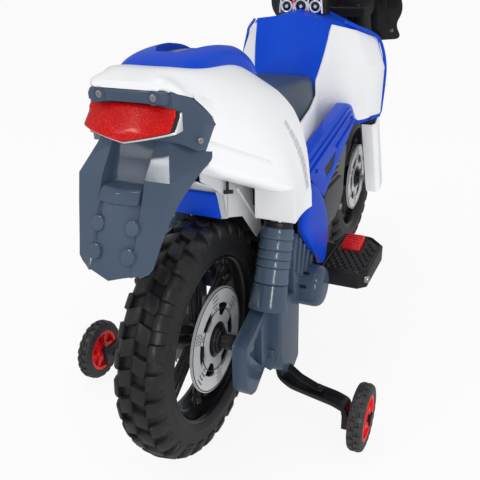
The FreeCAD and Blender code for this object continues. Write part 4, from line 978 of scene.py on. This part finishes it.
def make_bracket(name, side):
    width = Vector((-side, 0, 0))
    bm = soften(sweep(bmesh.new(), bent_line(BRACKET_PATH, side, 11), CHANNEL, width), 0.8, 2, 30.0)
    line = [spot(ahead, side * left, up) for ahead, left, up in STRAP_PATH]
    join(bm, soften(sweep(bmesh.new(), line, STRAP, width), 0.7, 2, 30.0))
    seat = spot(77, side * 141, 59.5)
    join(bm, soften(bar(bmesh.new(), seat, seat + UPWARD * 0.004, 4.6, 3.4, 14), 0.7))
    piece(name + "_channel", bm, "black_steel", smooth=36.0, stands_for=(name,))


def make_small_tyre(label, hub):
    bm = tidy(turned(bmesh.new(), hub, both_halves(SMALL_TYRE), 72))
    lugs = bmesh.new()
    for side in BOTH:
        for i in range(SMALL_LUGS):
            angle = 2 * math.pi * (i + (0.5 if side > 0 else 0)) / SMALL_LUGS
            skin(lugs, [[round_spot(hub, radius - sunk, side * across, angle + turn)
                         for across, radius in LUG_LINE] for turn, sunk in LUG_TURNS])
    join(bm, lugs)
    piece("small_tyre_ribbed_" + label, tidy(bm, FINE_GAP), "tyre_black", "stabiliser_wheel_" + label, 36.0,
          ("stabiliser_tyre_" + label,), small_black)


def make_small_hub(label, hub):
    bm = bmesh.new()
    turned(bm, hub, SMALL_RING, 60)
    turned(bm, hub, SMALL_BOSS, 36)
    spokes = bmesh.new()
    for i in range(6):
        along, aside = spoke_frame(math.pi / 3 * i)
        corners = [hub + along * reach + aside * shift - ACROSS * 0.0062 for reach, shift in SMALL_SPOKE]
        slab(spokes, corners, ACROSS * 0.0124)
    join(bm, soften(spokes, 1.0))
    turned(bm, hub, SMALL_WEB, 60)
    piece("small_hub_spoked_" + label, tidy(bm, FINE_GAP), "red_plastic", "stabiliser_wheel_" + label, 36.0,
          ("stabiliser_hub_" + label,))


for label, side in SIDES:
    make_bracket("stabiliser_bracket_" + label, side)
    hub = spot(57.5, side * 205, 45)
    make_small_tyre(label, hub)
    make_small_hub(label, hub)

# Underside of the tail: blue fender lip, light grey side plates and back wall, a T-handle

FENDER_LIP = ((-34, 314), (34, 314), (28.5, 343), (-28.5, 343))
FENDER_SIDE = ((-50, 397), (10, 374), (62, 356), (114, 300), (114, 262), (100, 257), (58, 302), (14, 317),
               (8, 346), (-24, 367), (-48, 381))
FENDER_CORNER = ((27, 347), (42, 347), (42, 316), (33, 314))
FENDER_WALL = ((-41, 338), (41, 338), (41, 372), (-41, 372))


def make_underside():
    lip = slab(bmesh.new(), [spot(13, left, up) for left, up in FENDER_LIP], Vector((0.004, 0, 0.002)))
    piece("fender_lip", soften(lip, 1.0), "blue_plastic")
    plates = bmesh.new()
    for side in BOTH:
        join(plates, soften(flat(FENDER_SIDE, side, 39.8, 42), 0.7))
        corner = [spot(13.8, side * left, up) for left, up in FENDER_CORNER]
        join(plates, tidy(slab(bmesh.new(), corner, REARWARD * -0.001)))
        bar(plates, spot(40, side * 42, 346), spot(98, side * 42, 284), 2.0)
    piece("fender_side_plates", plates, "grey_plastic")
    wall = slab(bmesh.new(), [spot(18.5, left, up) for left, up in FENDER_WALL], REARWARD * -0.002)
    piece("fender_back_wall", tidy(wall), "grey_plastic")
    handle = bmesh.new()
    bar(handle, spot(7, -46, 367), spot(6, -46, 352), 1.8)
    bar(handle, spot(9.5, -51.5, 352), spot(3.8, -42.5, 352), 2.4)
    piece("tee_handle", handle, "black_plastic")


make_underside()

# Tail cover: the tucked-under edge, the closing panel below it and the grey vent strip at its front, partly
# painted shade

# Heights above the cover's lower edge, with gaps to its flank, then (across, drop) of the turn under it
TUCK_FLANK = ((24, 0.04), (17, 0.12), (10, 0.2), (5, 0.25), (1, 0.25))
TUCK_TURN = ((-0.2, -2), (-1, -4.2), (-3, -6.8), (-6.5, -8.8), (-11, -9.8), (-18, -10), (-30, -9.6),
             (-43, -9))
TUCK_STATIONS = (-57, -49, -40, -28, -14, 0, 14, 28, 42, 56.5)
WING_EDGE = ((-78, 480.5), (-69, 477), (-58.5, 471), (-55.5, 459), (-54, 446))
WING = ((-79, 56.5, 474.5), (-73, 59.5, 468.5), (-66, 62.5, 461), (-61, 64.6, 455), (-57, 65.2, 447))
CLOSING_PANEL = ((-56, 384), (-20, 366), (14, 352), (44, 352), (70, 362), (96, 372))
VENTS = 8
VENT = ((0, -0.5), (0.8, -0.5), (0.8, 0.5), (0, 0.5))
VENT_TOP = (60, 424)
VENT_RUN = (50, -96)


def make_tail_underside():
    """A skirt that follows the tail cover's flank and turns under it, and a panel that closes the bottom."""
    surface = surface_of("tail_cover")
    bm = bmesh.new()
    for side in BOTH:
        rows = []
        for ahead in TUCK_STATIONS:
            edge = 412 - (ahead + 72) * 65 / 129
            share = min(1.0, 0.7 + (ahead + 57) / 40, (60 - ahead) / 12)
            row = [on_side(surface, ahead, edge + lift, side, gap) for lift, gap in TUCK_FLANK]
            foot = row[-1]
            for across, drop in TUCK_TURN:
                row.append(foot + Vector((0, side * share * across, share * drop)) / 1000)
            rows.append(row)
        rows.insert(0, [place + Vector((-0.007, -side * 0.0025, 0.0035)) for place in rows[0]])
        half = bmesh.new()
        skin(half, rows)
        skin(half, [[on_side(surface, ahead, up, side, 0.1) for ahead, up in WING_EDGE],
                    [spot(ahead, side * wide, up) for ahead, wide, up in WING]])
        join(bm, thicken(half, Vector((0, -side * 0.0009, 0.0009))))
    piece("tail_tuck", bm, "white_plastic", smooth=60.0)
    panel = bmesh.new()
    skin(panel, [[spot(ahead, left, up) for left in (-40, -20, 0, 20, 40)] for ahead, up in CLOSING_PANEL])
    tidy(panel)
    bmesh.ops.solidify(panel, geom=panel.faces[:], thickness=0.002)
    piece("tail_closing_panel", panel, "grey_plastic", smooth=40.0)


def make_vent_slats_and_edge_shade():
    """Grey slotted strip let into the front edge of the tail cover; its grey is partly painted shade of the
    edge's turned-back flange.
    """
    surface = surface_of("tail_cover")
    bm = bmesh.new()
    for side in BOTH:
        for k in range(VENTS):
            size = 7.0 * math.sin(math.pi * (0.15 + 0.75 * k / VENTS)) + 2.0
            corners = []
            for along, aside in VENT:
                share = (k + along) / VENTS
                ahead = VENT_TOP[0] + VENT_RUN[0] * share + aside * size
                up = VENT_TOP[1] + VENT_RUN[1] * share + aside * size * 0.5
                corners.append(on_side(surface, ahead, up, side, -0.5))
            slab(bm, corners, Vector((0, side * 0.0016, 0)))
    piece("tail_vent_slats_and_edge_shade", soften(bm, 0.4, 1), "grey_plastic")


make_tail_underside()
make_vent_slats_and_edge_shade()

# Tank shrouds: white infill above the spar and blue piping on the front edge

INFILL_STATIONS = ((160, 357), (189, 362.5), (219, 367.5), (249, 373), (279, 378.3), (308, 383.2), (336, 388),
                   (346, 389.5))
PIPING = ((372, 74, 499), (392, 88, 490), (412, 101.5, 481.5), (434, 112.5, 470), (437.5, 119.8, 448),
          (438, 123.9, 424), (438, 122.8, 390), (437.5, 120.5, 353), (430, 118, 350.5), (404, 111, 350))
PIPING_RADIUS = 2.6


def make_shroud_edges():
    fill = bmesh.new()
    pipe = bmesh.new()
    turns = [math.pi * k / 5 for k in range(10)]
    ring = [(PIPING_RADIUS * math.cos(turn), PIPING_RADIUS * math.sin(turn)) for turn in turns]
    for label, side in SIDES:
        surface = surface_of("tank_shroud_" + label)
        rows = []
        for ahead, up in INFILL_STATIONS:
            high, low = (on_side(surface, ahead, up + lift, side, 0.15) for lift in (12, 2))
            rows.append([high.lerp(low, reach) for reach in (0.0, 0.5, 1.0, 1.8, 2.6, 3.2)])
        half = bmesh.new()
        skin(half, rows)
        join(fill, thicken(half, Vector((0, -side * 0.0012, 0))))
        sweep(pipe, bent_line(PIPING, side, 12), ring, Vector((0, side, 0)))
    piece("shroud_infill", fill, "white_plastic", smooth=40.0)
    piece("shroud_piping", tidy(pipe, FINE_GAP), "blue_plastic", smooth=50.0)


make_shroud_edges()

# Side spars and lower covers: raised ribs, a framed window, rivets

SPAR = ((134, 358), (131, 350), (150, 330), (206, 288), (222, 278), (300, 315), (380, 353), (350, 381),
        (320, 391))
SPAR_RIBS = (((336, 380), (146, 347)), ((350, 371), (152, 334)), ((366, 355), (276, 336)))
SPAR_WINDOW = ((274, 331), (219, 320), (231, 305), (258, 310))
RIVETS = ((168, 337), (182, 328), (352, 362))
LOWER_COVER = ((124, 326), (146, 325), (172, 308), (198, 284), (217, 254), (224, 220), (222, 192), (214, 179),
               (203, 180), (188, 198), (150, 230), (113, 270), (119, 298))
# How far the cover's outline shrinks, and how far out it lies there
COVER_SWELL = ((1.0, 94), (1.0, 99), (0.985, 101), (0.93, 103), (0.82, 104.4), (0.6, 105), (0.3, 105))


def make_spar_trim():
    trim = bmesh.new()
    window = rounded(SPAR_WINDOW, 4)
    for label, side in SIDES:
        for start, end in SPAR_RIBS:
            start, end = Vector(start), Vector(end)
            aside = (end - start).normalized().orthogonal() * 2.6
            rib = flat((start - aside, end - aside, end + aside, start + aside), side, 93, 97.6)
            join(trim, soften(rib, 1.5, 3))
        spar = soften(sunk_plate(rounded(SPAR, 6), window, side, 80, 95, 84), 1.6, 3, 40.0)
        piece("side_spar_ribbed_" + label, spar, "blue_plastic", stands_for=("side_spar_" + label,))
        # The window's recess is filled almost to the face with black plastic: painted shade of the recess.
        piece("spar_window_shade_" + label, flat(window, side, 83, 94.3), "black_plastic")
        for ahead, up in RIVETS:
            rivet = bar(bmesh.new(), spot(ahead, side * 94, up), spot(ahead, side * 98, up), 3.4, 2.4, 12)
            join(trim, soften(rivet, 0.7))
    piece("spar_trim", trim, "blue_plastic")


def make_lower_cover(name, side):
    """The lower side cover as a full-bodied moulding: its face swells out from a low edge."""
    outline = rounded(LOWER_COVER, 9)
    middle = sum(outline, Vector((0, 0))) / len(outline)
    rows = []
    for share, reach in COVER_SWELL:
        shrunk = [middle.lerp(point, share) for point in outline]
        rows.append([spot(point.x, side * reach, point.y) for point in shrunk])
    bm = tidy(tube(bmesh.new(), rows))
    piece(name + "_swelled", bm, "blue_plastic", smooth=50.0, stands_for=(name,))


make_spar_trim()
for label, side in SIDES:
    make_lower_cover("lower_cover_" + label, side)

# Front fork: guards over the sliders, black sleeves above them; then the number plate

FORK_HALF = 62
GUARD_SECTION = ((-18.5, 9), (-18.5, -11.5), (-11.5, -18.5), (11.5, -18.5), (18.5, -11.5), (18.5, 9),
                 (16, 9), (16, -10.3), (10.3, -16), (-10.3, -16), (-16, -10.3), (-16, 9))
GUARD_STATIONS = ((-21, 0.95), (-12, 1.0), (70, 1.0), (120, 1.0), (146, 1.0), (156, 0.93))
SLEEVES = (((13.6, 0), (15.2, 0), (15.2, 22), (14.2, 25), (14.0, 118), (13.6, 118)),
           ((13.6, 135), (14.0, 135), (14.0, 258.4), (13.4, 259), (0.1, 259)))
SLEEVE_FOOT = 143
MASK = ((66, 299), (124, 305), (113, 331), (128, 359), (122, 397), (84, 439), (40, 459))
MASK_WIDTH = 0.945
MASK_FACE = 44
MASK_STAY = ((387, 29), (399, 29), (399, 39), (387, 39))
MASK_SCREWS = ((322, 100), (322, -100), (393, 34), (393, -34))


def make_fork_trim():
    sleeves = bmesh.new()
    for label, side in SIDES:
        rows = [[on_fork(along, side * (FORK_HALF - out * (share if out < 0 else 1.0)), ahead * share)
                 for ahead, out in GUARD_SECTION] for along, share in GUARD_STATIONS]
        bm = soften(tube(bmesh.new(), rows), 1.0, 2, 30.0)
        piece("fork_guard_long_" + label, bm, "white_plastic", "fork", stands_for=("fork_guard_" + label,))
        foot = on_fork(SLEEVE_FOOT, side * FORK_HALF, 0)
        axis = (on_fork(200, side * FORK_HALF, 0) - foot).normalized()
        aside = axis.orthogonal().normalized()
        for line in SLEEVES:
            points = [foot + aside * radius / 1000 + axis * reach / 1000 for radius, reach in line]
            spin_profile(sleeves, points, foot, axis, 32)
    piece("fork_sleeves", tidy(sleeves), "black_plastic", "fork")


def make_mask():
    """Number plate with scalloped sides, stays and screws."""
    half = [(across * MASK_WIDTH, along) for across, along in MASK]
    outline = rounded(half + [(-across, along) for across, along in reversed(half)], 15, 5)
    ahead = on_fork(0, 0, 1) - on_fork(0, 0, 0)
    bm = slab(bmesh.new(), [on_fork(along, across, MASK_FACE) for across, along in outline], ahead * 4)
    soften(bm, 1.2, 2, 40.0)
    for side in BOTH:
        stay = [on_fork(along, side * across, MASK_FACE / 2) for along, across in MASK_STAY]
        join(bm, soften(slab(bmesh.new(), stay, ahead * 22.5), 1.0))
        bar(bm, on_fork(330, side * 96, 43.5), on_fork(420, side * 84, 43.5), 3.0)
    piece("mask_scalloped", bm, SLOT_OF["front_mask"], "fork", stands_for=("front_mask",),
          material=gloss_black)
    screws = bmesh.new()
    for along, across in MASK_SCREWS:
        cross_screw(screws, on_fork(along, across, MASK_FACE), -ahead.normalized(), 4.0, 1.6)
    piece("mask_screws", screws, "steel", "fork")


make_fork_trim()
make_mask()

# Footrests: raised border, diamond tread, screws; ribs on the pedal

STEP_TOP = 170
STEP_BORDER = ((214, 98), (341, 98), (341, 140), (318, 161), (224, 161), (214, 151))
STUD = ((-4.4, 0), (0, -4.8), (4.4, 0), (0, 4.8))
# How far a stud's outline shrinks, and its height there
STUD_LEVELS = ((1.0, -0.2), (0.42, 2.2))
# The studs stand in rows, half a step apart, and keep clear of the edge, the cut corner and the pedal
STUD_ROWS, STUDS_IN_ROW = 13, 6
FIRST_ROW, ROW_STEP = 221, 9.4
FIRST_STUD, STUD_STEP = 104.5, 10.2
LAST_STUD = 157
CORNER_SUM = 470
PEDAL_REAR, PEDAL_FRONT, PEDAL_OUTER = 283, 332, 142
PEDAL_RIBS = 5
PEDAL_RIB = ((-1.3, -107.5, 0), (1.3, -107.5, 0.26), (1.3, -132.5, 0.26), (-1.3, -132.5, 0))


def make_footrest_tread():
    bm = bmesh.new()
    for side in BOTH:
        border = [spot(ahead, side * wide, STEP_TOP + 0.4) for ahead, wide in rounded(STEP_BORDER, 6)]
        rail(bm, border, 1.9, 8)
        for i in range(STUD_ROWS):
            for k in range(STUDS_IN_ROW):
                ahead = FIRST_ROW + i * ROW_STEP
                wide = FIRST_STUD + k * STUD_STEP + (i % 2) * STUD_STEP / 2
                near_pedal = side < 0 and PEDAL_REAR < ahead < PEDAL_FRONT and wide < PEDAL_OUTER
                if near_pedal or wide > LAST_STUD or ahead + wide > CORNER_SUM:
                    continue
                rows = [[spot(ahead + a * share, side * (wide + b * share), STEP_TOP + lift) for a, b in STUD]
                        for share, lift in STUD_LEVELS]
                bm.faces.new(skin(bm, rows, ring=True)[-1])
    piece("footrest_tread", tidy(bm, FINE_GAP), "black_plastic", smooth=30.0)
    screws = bmesh.new()
    for side in BOTH:
        cross_screw(screws, spot(222, side * 165, 158), Vector((0, side, 0)), 6.2, 2.2)
        cross_screw(screws, spot(331, side * 154.5, 158), Vector((0.7, side * 0.7, 0)), 6.2, 2.2)
    piece("footrest_screws", screws, "steel")


def make_pedal_ribs():
    ribs = bmesh.new()
    for k in range(PEDAL_RIBS):
        ahead = 297 + k * 6.4
        lift = STEP_TOP + 7 + 3 * (ahead - 295) / 30
        corners = [spot(ahead + shift, left, lift + rise) for shift, left, rise in PEDAL_RIB]
        join(ribs, soften(slab(bmesh.new(), corners, UPWARD * 0.0009), 0.5))
    piece("pedal_ribs", ribs, "red_plastic", "pedal")


make_footrest_tread()
make_pedal_ribs()

# Imitation engine: cooling fins, a round cover with screws, a lower case

ENGINE_FACE = 64
ENGINE_COVER = ((0.1, 13), (10, 13), (12, 11), (20, 11), (22, 9.5), (30, 8.5), (34, 6), (36, 0))
ENGINE_CASE = ((300, 190), (384, 190), (414, 218), (408, 250), (310, 250))
COVER_SCREWS = 5
FINS, FIN_STEP = 7, 9.5


def make_engine():
    bm = bmesh.new()
    screws = bmesh.new()
    for side in BOTH:
        out = Vector((0, side, 0))
        for k in range(FINS):
            rear, front, up = 262 - k * 2, 372 + k * 2, 262 + k * FIN_STEP
            fin = flat(((rear, up), (front, up), (front, up + 4), (rear, up + 4)), side, ENGINE_FACE, 74)
            join(bm, soften(fin, 1.0))
        hub = spot(268, side * ENGINE_FACE, 222)
        section = [(radius, side * reach) for radius, reach in ENGINE_COVER]
        join(bm, tidy(turned(bmesh.new(), hub, section, 48)))
        for k in range(COVER_SCREWS):
            seat = round_spot(hub, 31, side * 7.8, 2 * math.pi * (k + 0.25) / COVER_SCREWS)
            cross_screw(screws, seat, out, 3.0, 1.6)
        cross_screw(screws, spot(396, side * 66, 196), out, 6.0, 8.0)
        join(bm, soften(flat(rounded(ENGINE_CASE, 10), side, ENGINE_FACE, 72), 2.0, 3))
    piece("engine_fins", bm, "grey_plastic", material=engine_grey)
    piece("engine_screws", screws, "steel")


make_engine()

# Chassis front: louvres between two upright ribs on each side

CHASSIS_FACE = 39
LOUVRES, LOUVRE_STEP = 7, 30
RIB_PLACES = (416, 458)


def make_louvres():
    bm = bmesh.new()
    for side in BOTH:
        for k in range(LOUVRES):
            up = 152 + k * LOUVRE_STEP
            slat = ((424, up), (454, up + 3), (454, up + 9), (424, up + 6))
            join(bm, soften(flat(slat, side, CHASSIS_FACE, 43), 1.2))
        for ahead in RIB_PLACES:
            rib = ((ahead, 136), (ahead + 4, 136), (ahead + 4, 372), (ahead, 372))
            join(bm, soften(flat(rib, side, CHASSIS_FACE, 42.5), 1.2))
    piece("chassis_louvres", bm, "black_plastic")


make_louvres()

# Dash: plated surround, three gauges on its rear face, red rings and bars on its top

DASH_LOOP = ((380, -26), (390, -36), (416, -36), (426, -26), (426, 26), (416, 36), (390, 36), (380, 26))
DASH_KEYS = (387, 417)
GAUGES = ((-23, 8.2), (0, 9.5), (23, 8.2))
GAUGE_UP = 519.5
GAUGE_FACE = 379.8
GAUGE_BARS = (-34, -12, 12, 34)
KNOB_ROOT = 380.5
ACCENT_UP = 534.2


def make_dash():
    plated = bmesh.new()
    rail(plated, [spot(ahead, left, 533.4) for ahead, left in rounded(DASH_LOOP, 4)], 2.3, 10)
    ring_of(plated, spot(402, 17, 534.5), UPWARD, 10.2, 1.3)
    for ahead in DASH_KEYS:
        ring_of(plated, spot(ahead, 0, 535.0), UPWARD, 5.6, 1.1)
    for left, radius in GAUGES:
        ring_of(plated, spot(GAUGE_FACE, left, GAUGE_UP), REARWARD, radius, 1.5)
        bar(plated, spot(KNOB_ROOT, left, GAUGE_UP), spot(378.6, left, GAUGE_UP), 3.0, 2.2, 16)
    for left in GAUGE_BARS:
        bar(plated, spot(GAUGE_FACE, left, 510), spot(GAUGE_FACE, left * 0.94, 530), 1.6)
    piece("dash_surround", tidy(plated, FINE_GAP), "disc_chrome", smooth=40.0)
    accent = bmesh.new()
    for ahead in DASH_KEYS:
        ring_of(accent, spot(ahead, 0, ACCENT_UP), UPWARD, 3.6, 0.9)
    for left in (-8, 8):
        bar(accent, spot(390, left, ACCENT_UP), spot(414, left, ACCENT_UP), 1.2, steps=8)
    for left, up in ((12, 526), (-12, 512)):
        bar(accent, spot(KNOB_ROOT, left, up), spot(378.0, left, up), 2.8, 2.2, 14)
    piece("dash_accents", tidy(accent, FINE_GAP), "red_plastic", smooth=40.0)


make_dash()
